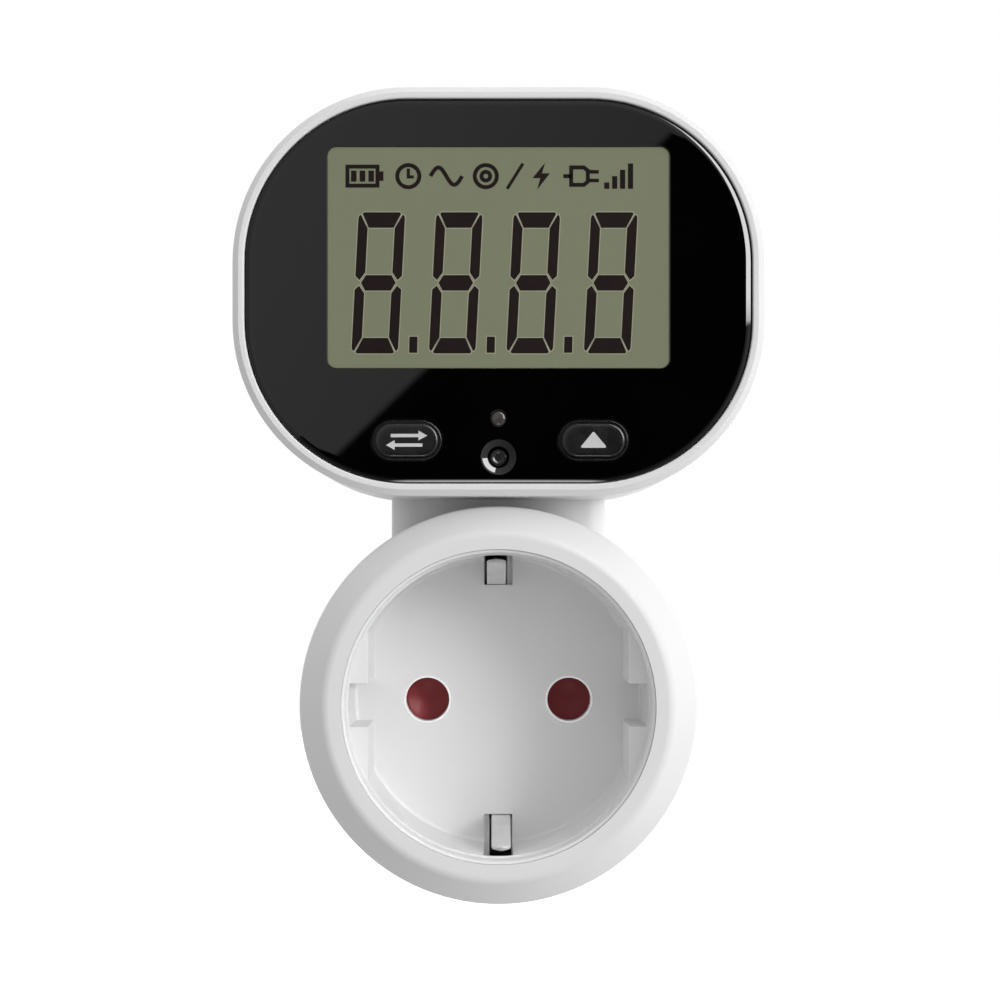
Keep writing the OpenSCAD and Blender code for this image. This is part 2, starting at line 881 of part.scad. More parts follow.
module neutral_pin() {
    color("lightsteelblue") plug_pin(1);
}

module pin_carrier() {
    color("antiquewhite") difference() {
        slab(foot_y + strip_t + 0.4, -2.6) plate(27.6, 12, 5);
        for (s = [-1, 1]) {
            rod(pin_root_r + 0.03, foot_y, 0, [s * pin_x, 0]);
            rod(pin_collar_r + 0.1, foot_y, pin_collar_y + pin_collar_t, [s * pin_x, 0]);
        }
    }
}

module earth_bar() {
    span = earth_z + strip_t;
    color("silver") strip(-earth_w / 2, earth_w / 2) {
        translate([bar_y, -span]) square([strip_t, 2 * span]);
        for (s = [-1, 1])
            translate([clip_root_y, s > 0 ? earth_z : -span])
                square([-3 - clip_root_y, strip_t]);
    }
}

// Earth clip that bends forward from its root into the well, with a round tip
module earth_clip(x, side) {
    root_z = earth_z - clip_t - 0.1;
    bend_z = slot_in + 0.1;
    tip_z = bend_z + 3.3;
    path = [
        [clip_root_y + 2, root_z], [clip_root_y - 2, root_z], [floor_back_y - 1, bend_z],
        [floor_y - 2.5, bend_z], [front_y + 5, tip_z - clip_t]
    ];
    tail = [for (i = [len(path) - 1 : -1 : 0]) path[i] + [0, clip_t]];
    intersection() {
        strip(x - clip_w, x + clip_w) polygon([for (p = concat(path, tail)) [p[0], side * p[1]]]);
        slab(front_y, clip_root_y + 3) translate([x, side * tip_z / 2])
            rotate(90) stadium(tip_z, clip_w);
    }
}

module upper_earth_clip() {
    color("silver") earth_clip(-0.25, 1);
}

module lower_earth_clip() {
    color("silver") earth_clip(0.35, -1);
}

// ---- shutter ----

module shutter() {
    dish_r = 5;
    color("firebrick") difference() {
        slab(shutter_y0, shutter_y1) {
            circle(4.2);
            square([2 * pin_x, 4.4], center = true);
            for (s = [-1, 1])
                translate([s * pin_x, 0]) circle(shutter_arm_r);
        }
        rod(pivot_r + 0.05, shutter_y0 - 1, shutter_y1 + 1);
        for (s = [-1, 1])
            translate([s * pin_x, shutter_y0 + 0.8 - dish_r, 0]) sphere(dish_r);
    }
}

// Torsion spring around the shutter's pivot, as a tube swept along a helix with two legs
module shutter_spring() {
    y0 = shutter_y1 + 0.35;
    pitch = 0.52;
    steps = 20;
    sides = 6;
    n = coil_turns * steps;
    // Points of the wire's axis in X and Z, with the level along Y last
    axis = concat(
        [[coil_r, -spring_leg, y0]],
        [for (i = [0 : n]) let (a = 360 * i / steps)
            [coil_r * cos(a), coil_r * sin(a), y0 + pitch * i / steps]],
        [[coil_r, spring_leg, y0 + pitch * coil_turns]]
    );
    last = len(axis) - 1;
    ahead = function(i) let (d = axis[min(i + 1, last)] - axis[max(i - 1, 0)]) d / norm(d);
    ring = function(i)
        let (d = ahead(i), side = cross([0, 0, 1], d), u = side / norm(side), v = cross(d, u))
        [for (k = [0 : sides - 1])
            let (p = axis[i] + wire_r * (cos(360 * k / sides) * u + sin(360 * k / sides) * v))
            [p[0], p[2], p[1]]];
    color("lightgray") polyhedron(
        points = [for (i = [0 : last], p = ring(i)) p],
        faces = concat(
            [[for (k = [0 : sides - 1]) k]],
            [for (i = [0 : last - 1], k = [0 : sides - 1])
                let (a = i * sides + k, b = i * sides + (k + 1) % sides)
                [a, a + sides, b + sides, b]],
            [[for (k = [sides - 1 : -1 : 0]) last * sides + k]]
        )
    );
}

module shutter_washer() {
    color("silver") difference() {
        rod(3.6, pivot_end_y, pivot_end_y + washer_t);
        rod(1, pivot_end_y - 1, pivot_end_y + washer_t + 1);
    }
}

// ---- fasteners ----

module shutter_screw() {
    color("silver") small_screw(5, pivot_end_y + washer_t);
}

module head_screws() {
    color("silver") translate([0, 0, head_z]) for (s = [-1, 1])
        screw(head_screw_head_r, 1.7, head_screw_r, 17, head_back_y - shell_t + 0.1, [s * head_post_x, 0]);
}

module collar_screws() {
    color("silver") at_collar_screws()
        screw(collar_screw_head_r, 1.6, collar_screw_r, 27, collar_seat_y);
}

module board_screws() {
    color("silver") translate([0, 0, head_z]) for (p = board_posts)
        small_screw(5, board_y + board_t, p);
}

module power_board_screws() {
    color("silver") for (p = power_posts)
        translate([p[0], power_y, power_z + p[1]]) mirror([0, 1, 0]) small_screw(4, 0);
}

module carrier_screws() {
    color("silver") for (p = carrier_posts)
        small_screw(4.6, carrier_y0 + carrier_ear_t, p);
}

front_shell();
rear_shell();
face_panel();
socket_insert();
lcd_front_film();
display_window();
lcd_front_glass();
lcd_rear_glass();
lcd_rear_film();
lcd_frame();
rubber_connector();
display_board();
controller_blob();
clock_crystal();
backup_cell();
cell_tabs();
key_switches();
reset_switch();
mode_key();
up_key();
reset_key();
mode_plunger();
up_plunger();
reset_plunger();
status_led();
light_pipe();
ribbon_cable();
power_board();
mains_capacitor();
smoothing_capacitor();
varistor();
fusible_resistor();
metering_chip();
supply_leads();
shunt();
live_contact();
neutral_contact();
line_pin_strap();
contact_carrier();
line_pin();
neutral_pin();
pin_carrier();
earth_bar();
upper_earth_clip();
lower_earth_clip();
shutter();
shutter_spring();
shutter_screw();
shutter_washer();
head_screws();
collar_screws();
board_screws();
power_board_screws();
carrier_screws();
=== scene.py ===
"""Looks of the plug-in power meter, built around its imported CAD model.

Lengths are written in millimetres and turned into metres when a mesh is made. The front faces -Y,
+Z is up and the plug's pins point along +Y, as in the CAD model.
"""
import json
import math

import bmesh
import bpy
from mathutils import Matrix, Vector


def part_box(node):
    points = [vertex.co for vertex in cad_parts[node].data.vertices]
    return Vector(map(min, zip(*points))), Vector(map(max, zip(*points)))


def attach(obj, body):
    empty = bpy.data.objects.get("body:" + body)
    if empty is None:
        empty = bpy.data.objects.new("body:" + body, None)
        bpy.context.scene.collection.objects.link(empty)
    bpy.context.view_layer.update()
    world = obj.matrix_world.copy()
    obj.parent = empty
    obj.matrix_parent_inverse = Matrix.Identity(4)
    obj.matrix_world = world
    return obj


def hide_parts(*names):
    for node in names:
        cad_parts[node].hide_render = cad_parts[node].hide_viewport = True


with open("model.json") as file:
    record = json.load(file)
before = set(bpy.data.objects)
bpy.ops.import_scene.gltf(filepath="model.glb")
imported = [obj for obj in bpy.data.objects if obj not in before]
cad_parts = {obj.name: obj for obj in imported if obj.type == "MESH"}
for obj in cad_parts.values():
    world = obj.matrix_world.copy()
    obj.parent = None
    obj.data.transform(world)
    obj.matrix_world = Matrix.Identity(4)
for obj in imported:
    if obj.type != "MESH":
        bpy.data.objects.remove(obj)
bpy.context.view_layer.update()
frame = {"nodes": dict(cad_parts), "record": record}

MM = 0.001
NODES = frame["nodes"]
MOUNTS = {m["name"]: m for m in frame["record"]["mounts"]}
FIXED = "meter"


def box_mm(node):
    """Lowest and highest corner of a CAD node, in millimetres."""
    low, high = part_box(node)
    return low / MM, high / MM


# ---- sizes: from the frame, or the CAD model's own value where the frame doesn't hold it ----

SHELL_LO, SHELL_HI = box_mm("front_shell")
PANEL_LO, PANEL_HI = box_mm("face_panel")
INSERT_LO, INSERT_HI = box_mm("socket_insert")
FILM_LO, FILM_HI = box_mm("lcd_front_film")
KEY_LO, KEY_HI = box_mm("up_key")
PIPE_LO, PIPE_HI = box_mm("light_pipe")
RESET_LO, RESET_HI = box_mm("reset_key")
CLIP_LO, CLIP_HI = box_mm("upper_earth_clip")
PIN_LO, PIN_HI = box_mm("line_pin")
HEAD_SCREW_LO, HEAD_SCREW_HI = box_mm("head_screws")
COLLAR_SCREW_LO, COLLAR_SCREW_HI = box_mm("collar_screws")

FRONT = SHELL_LO.y
PARTING = SHELL_HI.y
WALL = MOUNTS["wall_face"]["pos_m"][1] / MM
WALL_T = 2.0

# Head and its rim. TRIM is how much slimmer they are on each side than the CAD model.
TRIM = 0.3
HEAD_Z = (PANEL_LO.z + PANEL_HI.z) / 2
HEAD_W = SHELL_HI.x - SHELL_LO.x - 2 * TRIM
HEAD_H = 2 * (SHELL_HI.z - HEAD_Z - TRIM)
HEAD_R = 22.5 - TRIM
HEAD_DEPTH = 25
HEAD_BACK = FRONT + HEAD_DEPTH
HEAD_WALL = 1.8 - TRIM
RIM_W = 1.85 - TRIM
LEDGE = 1.55

# Black panel, with its window a little wider than the film
PANEL_W = PANEL_HI.x - PANEL_LO.x
PANEL_H = PANEL_HI.z - PANEL_LO.z
PANEL_R = HEAD_R - (HEAD_W - PANEL_W) / 2
FILM_GAP = 0.12
WINDOW_W = FILM_HI.x - FILM_LO.x + 2 * FILM_GAP
WINDOW_H = FILM_HI.z - FILM_LO.z + 2 * FILM_GAP
WINDOW_Z = (FILM_LO.z + FILM_HI.z) / 2 + 0.05
WINDOW_R = 1.2

# Keys, whose boxes include a lip behind the panel. KEY_SHIFT moves both caps to the right.
KEY_LIP = 0.9
KEY_X = (KEY_LO.x + KEY_HI.x) / 2
KEY_Z = (KEY_LO.z + KEY_HI.z) / 2
KEY_W = KEY_HI.x - KEY_LO.x - 2 * KEY_LIP
KEY_H = KEY_HI.z - KEY_LO.z - 2 * KEY_LIP
KEY_R = KEY_H / 2 - 0.001
KEY_SLIT = 0.45
KEY_SHIFT = 0.2
PIPE_Z = (PIPE_LO.z + PIPE_HI.z) / 2
RESET_Z = (RESET_LO.z + RESET_HI.z) / 2
RESET_HOLE_R = 1.25

# Stem
STEM_W = 28.5
STEM_SETBACK = 14
STEM_FRONT = FRONT + STEM_SETBACK
STEM_TOP = HEAD_Z - HEAD_H / 2 + 1.2

# Round body, socket and plug
COLLAR_R = -SHELL_LO.z
RING_FLAT_R = 22.1
WELL_R = MOUNTS["socket_well"]["dims"]["r_mm"]
WELL_STEP = 0.25
FLOOR = MOUNTS["well_floor"]["pos_m"][1] / MM
GUIDE_X = 16.7
PIN_X = MOUNTS["right_pin_hole"]["pos_m"][0] / MM
HOLE_R = MOUNTS["right_pin_hole"]["dims"]["r_mm"]
PIN_R = MOUNTS["plug_pins"]["dims"]["stud_r_mm"]
PIN_COLLAR = -18.6
NOSE_R = 18.3
NOSE_FLAT = 16.2
RIB_W = 4.6

# Screws: radius and height of their heads, and where they stand
HEAD_SCREW_R = 2.6
HEAD_SCREW_T = 1.7
HEAD_WELL_R = 2.9
HEAD_POST_X = HEAD_SCREW_HI.x - HEAD_SCREW_R
COLLAR_SCREW_R = 2.4
COLLAR_SCREW_T = 1.6
COLLAR_WELL_R = 2.6
COLLAR_SCREW_AT = COLLAR_SCREW_HI.x - COLLAR_SCREW_R
COLLAR_SCREWS = [(x * COLLAR_SCREW_AT, z * COLLAR_SCREW_AT) for x in (-1, 1) for z in (-1, 1)]
COLLAR_SEAT = WALL - 1.7

# ---- mesh tools ----


def fillet(points, steps=6):
    """Closed outline from corners (x, y, radius), each corner turned into an arc of its radius."""
    out = []
    count = len(points)
    for i, (x, y, radius) in enumerate(points):
        here = Vector((x, y))
        if radius <= 0:
            out.append((x, y))
            continue
        back = (Vector(points[i - 1][:2]) - here).normalized()
        ahead = (Vector(points[(i + 1) % count][:2]) - here).normalized()
        half = back.angle(ahead) / 2
        centre = here + (back + ahead).normalized() * radius / math.sin(half)
        start = here + back * radius / math.tan(half) - centre
        end = here + ahead * radius / math.tan(half) - centre
        turn = math.atan2(start.x * end.y - start.y * end.x, start.dot(end))
        for k in range(steps + 1):
            a = turn * k / steps
            out.append((centre.x + start.x * math.cos(a) - start.y * math.sin(a),
                        centre.y + start.x * math.sin(a) + start.y * math.cos(a)))
    return out


def rounded(w, h, r, grow=0.0, centre=(0.0, 0.0), steps=20):
    """Rounded rectangle in X and Z, moved outwards by grow, as a list of points."""
    cx, cz, radius = w / 2 - r, h / 2 - r, r + grow
    out = []
    for turn, sx, sz in ((0, 1, 1), (1, -1, 1), (2, -1, -1), (3, 1, -1)):
        for k in range(steps + 1):
            a = math.pi / 2 * (turn + k / steps)
            out.append((centre[0] + sx * cx + radius * math.cos(a),
                        centre[1] + sz * cz + radius * math.sin(a)))
    return out


def new_object(name, verts, faces):
    """Mesh object from points in millimetres, with its faces turned outwards."""
    mesh = bpy.data.meshes.new(name)
    mesh.from_pydata([[c * MM for c in v] for v in verts], [], faces)
    bm = bmesh.new()
    bm.from_mesh(mesh)
    bmesh.ops.remove_doubles(bm, verts=bm.verts, dist=1e-6)
    bmesh.ops.recalc_face_normals(bm, faces=bm.faces)
    bm.to_mesh(mesh)
    bm.free()
    obj = bpy.data.objects.new(name, mesh)
    bpy.context.scene.collection.objects.link(obj)
    return obj


def loft(name, rings, closed=False):
    """Skin over rings of equal length: capped at both ends, or joined end to end if closed."""
    size = len(rings[0])
    verts = [p for ring in rings for p in ring]
    faces = []
    for i in range(len(rings) if closed else len(rings) - 1):
        a, b = i * size, (i + 1) % len(rings) * size
        faces += [(a + k, a + (k + 1) % size, b + (k + 1) % size, b + k) for k in range(size)]
    if not closed:
        faces.append(tuple(range(size)))
        faces.append(tuple((len(rings) - 1) * size + k for k in range(size - 1, -1, -1)))
    return new_object(name, verts, faces)


def around(name, w, h, r, profile, centre=(0.0, 0.0), closed=True, steps=20):
    """Carries a profile of (distance outside the outline, level along Y) around a rounded rectangle."""
    rings = []
    for grow, y in profile:
        rings.append([(x, y, z) for x, z in rounded(w, h, r, grow, centre, steps)])
    return loft(name, rings, closed)


def lathe(name, profile, closed=True, steps=160, centre=(0.0, 0.0)):
    """Turns a profile of (radius, level along Y) about an axis along Y."""
    rings = []
    for radius, y in profile:
        rings.append([(centre[0] + radius * math.cos(2 * math.pi * k / steps), y,
                       centre[1] + radius * math.sin(2 * math.pi * k / steps))
                      for k in range(steps)])
    return loft(name, rings, closed)


def prism(name, outline, y0, y1):
    """Solid of a flat outline in X and Z between two levels along Y."""
    return loft(name, [[(x, y, z) for x, z in outline] for y in (y0, y1)])


def block(name, low, high):
    """Box between two corners."""
    outline = [(low[0], low[2]), (high[0], low[2]), (high[0], high[2]), (low[0], high[2])]
    return prism(name, outline, low[1], high[1])


def settle(obj):
    """Applies an object's modifiers to its mesh."""
    graph = bpy.context.evaluated_depsgraph_get()
    mesh = bpy.data.meshes.new_from_object(obj.evaluated_get(graph))
    obj.modifiers.clear()
    obj.data = mesh


def carve(obj, operation, *tools):
    """Cuts the tools out of obj, or adds them to it, and removes them."""
    for tool in tools:
        step = obj.modifiers.new("carve", "BOOLEAN")
        step.operation, step.solver, step.object = operation, "EXACT", tool
        settle(obj)
        bpy.data.objects.remove(tool)
    return obj


def bevel(obj, width, segments=3, angle=35):
    """Rounds the edges of obj that are sharper than an angle in degrees."""
    step = obj.modifiers.new("bevel", "BEVEL")
    step.width, step.segments = width * MM, segments
    step.limit_method, step.angle_limit = "ANGLE", math.radians(angle)
    step.harden_normals = False
    settle(obj)
    return obj


def shade(obj, angle=32):
    """Smooth shading that breaks at edges sharper than an angle in degrees."""
    bm = bmesh.new()
    bm.from_mesh(obj.data)
    for face in bm.faces:
        face.smooth = True
    for edge in bm.edges:
        edge.smooth = len(edge.link_faces) == 2 and edge.calc_face_angle(0) < math.radians(angle)
    bm.to_mesh(obj.data)
    bm.free()


def join(*objects):
    """Puts several closed solids into the first one's mesh."""
    bm = bmesh.new()
    for obj in objects:
        bm.from_mesh(obj.data)
    bm.to_mesh(objects[0].data)
    bm.free()
    for obj in objects[1:]:
        bpy.data.objects.remove(obj)
    return objects[0]


def finish_piece(obj, material, slot, body, *stands_for, angle=32):
    """Shades a piece, gives it its material, ties it to its body and hides the CAD nodes it stands for. Its
    slot is not used.
    """
    shade(obj, angle)
    step = obj.modifiers.new("even", "WEIGHTED_NORMAL")
    step.keep_sharp = True
    settle(obj)
    obj.data.materials.clear()
    obj.data.materials.append(material)
    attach(obj, body)
    if stands_for:
        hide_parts(*stands_for)
    return obj


# ---- materials ----


class Shader:
    """A Principled material and short calls for the nodes that feed it."""

    def __init__(self, name, **inputs):
        self.material = bpy.data.materials.new(name)
        self.material.use_nodes = True
        self.tree = self.material.node_tree
        self.surface = self.tree.nodes["Principled BSDF"]
        for key, value in inputs.items():
            self.surface.inputs[key.replace("_", " ")].default_value = value
        self.place = self.tree.nodes.new("ShaderNodeTexCoord").outputs["Object"]

    def node(self, kind, **settings):
        """New node of a kind, with its settings."""
        made = self.tree.nodes.new(kind)
        for key, value in settings.items():
            setattr(made, key, value)
        return made

    def link(self, source, target):
        self.tree.links.new(source, target)

    def stretched(self, x, y, z):
        """Object coordinates, scaled differently along each axis."""
        mapping = self.node("ShaderNodeMapping")
        mapping.inputs["Scale"].default_value = (x, y, z)
        self.link(self.place, mapping.inputs["Vector"])
        return mapping.outputs["Vector"]

    def noise(self, per_mm, detail=3.0, vector=None):
        """Noise with that many features to the millimetre."""
        made = self.node("ShaderNodeTexNoise")
        made.inputs["Scale"].default_value = per_mm / MM
        made.inputs["Detail"].default_value = detail
        self.link(vector or self.place, made.inputs["Vector"])
        return made.outputs["Fac"]

    def between(self, value, low, high, start=0.3, end=0.7):
        """A value spread over a range."""
        made = self.node("ShaderNodeMapRange")
        for key, number in zip(("From Min", "From Max", "To Min", "To Max"),
                               (start, end, low, high)):
            made.inputs[key].default_value = number
        self.link(value, made.inputs["Value"])
        return made.outputs["Result"]

    def colours(self, value, *stops):
        """Colour ramp with stops of (position, (red, green, blue))."""
        made = self.node("ShaderNodeValToRGB")
        ramp = made.color_ramp
        while len(ramp.elements) < len(stops):
            ramp.elements.new(1.0)
        for element, (position, colour) in zip(ramp.elements, stops):
            element.position = position
            element.color = (*colour, 1.0)
        self.link(value, made.inputs["Fac"])
        return made.outputs["Color"]

    def bump(self, value, depth_mm, strength=1.0):
        """Feeds a height, at most that deep, into the surface's normal."""
        made = self.node("ShaderNodeBump")
        made.inputs["Distance"].default_value = depth_mm * MM
        made.inputs["Strength"].default_value = strength
        self.link(value, made.inputs["Height"])
        self.link(made.outputs["Normal"], self.surface.inputs["Normal"])

    def feed(self, **sources):
        """Links sources to the surface's inputs, by name."""
        for key, source in sources.items():
            self.link(source, self.surface.inputs[key.replace("_", " ")])


def tint(colour, factor):
    """Colour made lighter or darker."""
    return tuple(min(1.0, c * factor) for c in colour)


def moulded(name, colour, rough, spread=0.05, grain=6.0, depth=0.004, uneven=0.05, **more):
    """Moulded plastic: a fine spark-eroded grain, slightly uneven colour and gloss."""
    made = Shader(name, **more)
    cloud = made.noise(0.09, 4)
    made.feed(
        Base_Color=made.colours(cloud, (0.3, tint(colour, 1 - spread)), (0.7, tint(colour, 1 + spread))),
        Roughness=made.between(made.noise(0.6, 5), rough - uneven, rough + uneven),
    )
    made.bump(made.noise(grain, 4), depth, 0.5)
    return made.material


def metal(name, colour, rough, streak=(1.0, 0.08, 1.0), per_mm=9.0, depth=0.002, dull=0.75, metallic=1.0):
    """Bare or plated metal with fine drawing marks and dull patches."""
    made = Shader(name, Metallic=metallic)
    marks = made.noise(per_mm, 4, made.stretched(*streak))
    made.feed(
        Base_Color=made.colours(made.noise(0.35, 5), (0.32, tint(colour, dull)), (0.62, colour)),
        Roughness=made.between(marks, rough * 0.75, rough * 1.3),
    )
    made.bump(marks, depth, 0.4)
    return made.material


def circuit_board(name):
    """Glass-fibre board: copper tracks seen through a green mask, with small plated vias."""
    made = Shader(name)
    tracks = made.node("ShaderNodeTexBrick", offset=0.5)
    made.link(made.stretched(1, 1, 1), tracks.inputs["Vector"])
    for key, value in (("Scale", 420.0), ("Mortar Size", 0.06), ("Brick Width", 0.9), ("Row Height", 0.35)):
        tracks.inputs[key].default_value = value
    tracks.inputs["Color1"].default_value = (0.012, 0.10, 0.035, 1)
    tracks.inputs["Color2"].default_value = (0.018, 0.13, 0.048, 1)
    tracks.inputs["Mortar"].default_value = (0.03, 0.22, 0.08, 1)
    weave = made.noise(3.0, 2)
    blend = made.node("ShaderNodeMixRGB", blend_type="MULTIPLY")
    blend.inputs["Fac"].default_value = 0.35
    made.link(tracks.outputs["Color"], blend.inputs["Color1"])
    made.link(made.colours(weave, (0.3, (0.7, 0.7, 0.7)), (0.7, (1, 1, 1))), blend.inputs["Color2"])
    made.feed(Base_Color=blend.outputs["Color"], Roughness=made.between(weave, 0.28, 0.45))
    made.bump(tracks.outputs["Fac"], 0.02, 0.4)
    return made.material


def clear(name, colour, rough, alpha):
    """Clear resin or glass, faintly tinted and uneven in gloss."""
    made = Shader(name, IOR=1.5, Alpha=alpha)
    cloud = made.noise(0.2, 3)
    made.feed(
        Base_Color=made.colours(cloud, (0.3, tint(colour, 0.92)), (0.7, colour)),
        Roughness=made.between(made.noise(1.5, 3), rough * 0.7, rough * 1.3),
    )
    return made.material


def lcd_sheet(name, colour):
    """Matte polarising film over the display: a very fine sparkle on an even grey-green."""
    made = Shader(name, Specular_IOR_Level=0.12)
    speck = made.noise(14.0, 2)
    cloud = made.noise(0.05, 2)
    shades = made.colours(speck, (0.35, tint(colour, 0.95)), (0.65, tint(colour, 1.05)))
    blend = made.node("ShaderNodeMixRGB", blend_type="MULTIPLY")
    blend.inputs["Fac"].default_value = 1.0
    made.link(shades, blend.inputs["Color1"])
    made.link(made.colours(cloud, (0.3, (0.97, 0.97, 0.97)), (0.7, (1, 1, 1))), blend.inputs["Color2"])
    made.feed(Base_Color=blend.outputs["Color"], Roughness=made.between(speck, 0.55, 0.75))
    made.bump(speck, 0.004, 0.3)
    return made.material


WHITE = (0.80, 0.80, 0.80)
MATERIALS = {
    "shell_white": moulded("shell_white", WHITE, 0.4, spread=0.012, grain=5.0, depth=0.001,
                           Specular_IOR_Level=0.2),
    "insert_white": moulded("insert_white", (0.82, 0.82, 0.82), 0.5, spread=0.012, grain=7.0, depth=0.0015),
    "panel_black": moulded("panel_black", (0.0012, 0.0012, 0.0013), 0.015, spread=0.2, grain=0.5,
                           depth=0.0001, uneven=0.005),
    "lcd_film": lcd_sheet("lcd_film", (0.212, 0.228, 0.146)),
    "lcd_glass": clear("lcd_glass", (0.80, 0.86, 0.82), 0.05, 0.5),
    "reflector": metal("reflector", (0.60, 0.62, 0.56), 0.4, (1, 1, 1), 20.0),
    "frame_plastic": moulded("frame_plastic", (0.03, 0.03, 0.032), 0.55, spread=0.15),
    "connector_rubber": moulded("connector_rubber", (0.52, 0.28, 0.30), 0.7, spread=0.1, grain=3.0,
                                depth=0.02),
    "board_green": circuit_board("board_green"),
    "chip_black": moulded("chip_black", (0.016, 0.016, 0.017), 0.45, spread=0.25, grain=9.0, depth=0.006),
    "plated_steel": metal("plated_steel", (0.66, 0.66, 0.65), 0.22, (1, 1, 1), 3.0),
    "plated_brass": metal("plated_brass", (0.66, 0.62, 0.48), 0.3, (1, 1, 0.1)),
    "switch_plastic": moulded("switch_plastic", (0.05, 0.05, 0.052), 0.5, spread=0.15),
    "key_rubber": moulded("key_rubber", (0.006, 0.006, 0.0065), 0.27, spread=0.1, grain=8.0, depth=0.002),
    "plunger_plastic": moulded("plunger_plastic", (0.48, 0.36, 0.16), 0.5, spread=0.08),
    "led_clear": clear("led_clear", (0.75, 0.70, 0.62), 0.2, 0.8),
    "pipe_clear": moulded("pipe_clear", (0.05, 0.042, 0.04), 0.25, spread=0.12, grain=4.0, depth=0.002),
    "cable_grey": moulded("cable_grey", (0.50, 0.50, 0.52), 0.5, spread=0.08, grain=1.2, depth=0.05),
    "capacitor_yellow": moulded("capacitor_yellow", (0.70, 0.46, 0.04), 0.4, spread=0.08),
    "capacitor_sleeve": moulded("capacitor_sleeve", (0.02, 0.03, 0.11), 0.25, spread=0.12),
    "varistor_blue": moulded("varistor_blue", (0.03, 0.11, 0.40), 0.3, spread=0.12, grain=2.0, depth=0.02),
    "resistor_body": moulded("resistor_body", (0.22, 0.42, 0.58), 0.5, spread=0.12, grain=3.0, depth=0.02),
    "wire_red": moulded("wire_red", (0.42, 0.015, 0.015), 0.35, spread=0.1),
    "shunt_alloy": metal("shunt_alloy", (0.40, 0.34, 0.30), 0.45),
    "contact_brass": metal("contact_brass", (0.74, 0.54, 0.24), 0.3),
    "carrier_plastic": moulded("carrier_plastic", (0.66, 0.61, 0.50), 0.5, spread=0.06),
    "pin_nickel": metal("pin_nickel", (0.70, 0.69, 0.66), 0.24, (1, 0.05, 1), 7.0, dull=0.93),
    "earth_steel": metal("earth_steel", (0.74, 0.74, 0.74), 0.38, dull=0.9, metallic=0.2),
    "shutter_red": moulded("shutter_red", (0.20, 0.018, 0.023), 0.45, spread=0.12, grain=3.0, depth=0.006,
                           Specular_IOR_Level=0.3),
    "spring_steel": metal("spring_steel", (0.52, 0.52, 0.52), 0.3),
    "screw_steel": metal("screw_steel", (0.58, 0.58, 0.57), 0.32, (1, 1, 1), 5.0),
}
# Pin hole lips: paler than the cup and faintly glowing, a painted highlight for the bright line round each
# hole; the lip is no lamp.
PIN_LIP_PAINTED_GLOW = moulded("pin_lip_painted_glow", (0.95, 0.95, 0.95), 0.3, spread=0.01, depth=0.001,
                    Emission_Color=(1, 1, 1, 1), Emission_Strength=0.14)
LEGEND = moulded("legend_print", (0.62, 0.62, 0.62), 0.5, spread=0.05)
SEGMENT_EDGE = moulded("segment_edge", (0.37, 0.36, 0.27), 0.7, spread=0.05, Specular_IOR_Level=0.1)
SEGMENT = moulded("lcd_segment", (0.0115, 0.0065, 0.0062), 0.7, spread=0.12, Specular_IOR_Level=0.1)

for entry in frame["record"]["subparts"]:
    held = NODES[entry["node"]].data.materials
    held.clear()
    held.append(MATERIALS[entry["material_slot"]])


# ---- housing ----


def stem_half(name, level, end, edge_r):
    """Hollow half of the stem between the parting level and its closed end, seated on the round body."""
    outer = STEM_W / 2
    inner = outer - WALL_T
    floor = end + WALL_T if end < level else end - WALL_T
    outline = fillet([(-outer, level, 0), (-outer, end, edge_r), (outer, end, edge_r), (outer, level, 0),
                      (inner, level, 0), (inner, floor, 1), (-inner, floor, 1), (-inner, level, 0)])
    points = []
    for (x0, y0), (x1, y1) in zip(outline, outline[1:] + outline[:1]):
        count = max(1, round(abs(x1 - x0)))
        points += [(x0 + (x1 - x0) * k / count, y0 + (y1 - y0) * k / count) for k in range(count)]
    reach = COLLAR_R - WALL_T / 2
    low = [(x, y, math.sqrt(reach ** 2 - x ** 2)) for x, y in points]
    return loft(name, [low, [(x, y, STEM_TOP) for x, y in points]])


def post(radius, bore, y0, y1, x, z):
    """Screw post with its bore."""
    return lathe("post", [(bore, y0), (radius, y0), (radius, y1), (bore, y1)], steps=32, centre=(x, z))


def front_shell():
    """White front housing: the head's rim with its ledge, the stem's front and the collar."""
    back = PANEL_HI.y
    ledge = -RIM_W - LEDGE
    rim = around("rim", HEAD_W, HEAD_H, HEAD_R, fillet([
        (0, PARTING, 0.15), (0, FRONT + 0.8, 0.3), (-0.8, FRONT, 0.15), (-RIM_W, FRONT, 0.22),
        (-RIM_W, back, 0), (ledge, back, 0.2), (ledge, back + 1.2, 0.2),
        (-HEAD_WALL, back + 1.2, 0.3), (-HEAD_WALL, PARTING, 0.1),
    ]), (0, HEAD_Z), steps=28)
    ring_in = WELL_R + 0.45
    collar = lathe("collar", fillet([
        (ring_in, FRONT, 0.03), (RING_FLAT_R, FRONT, 1.6), (COLLAR_R, FRONT + 3.8, 1.4),
        (COLLAR_R, PARTING, 0.15), (COLLAR_R - WALL_T, PARTING, 0.1), (COLLAR_R - WALL_T, FRONT + 4.5, 0.5),
        (COLLAR_R - 3.9, FRONT + 1.9, 0.5), (ring_in, FRONT + 1.9, 0.1),
    ]), steps=192)
    shell = carve(rim, "UNION", collar, stem_half("stem_front", PARTING, STEM_FRONT, 2.4))
    post_r, bore_r = 2.4, 1.25
    posts = [post(post_r, bore_r, back + 1, PARTING, side * HEAD_POST_X, HEAD_Z) for side in (-1, 1)]
    shell = join(shell, *posts)
    shell.name = "front_shell_skin"
    return finish_piece(shell, MATERIALS["shell_white"], "shell_white", FIXED, "front_shell")


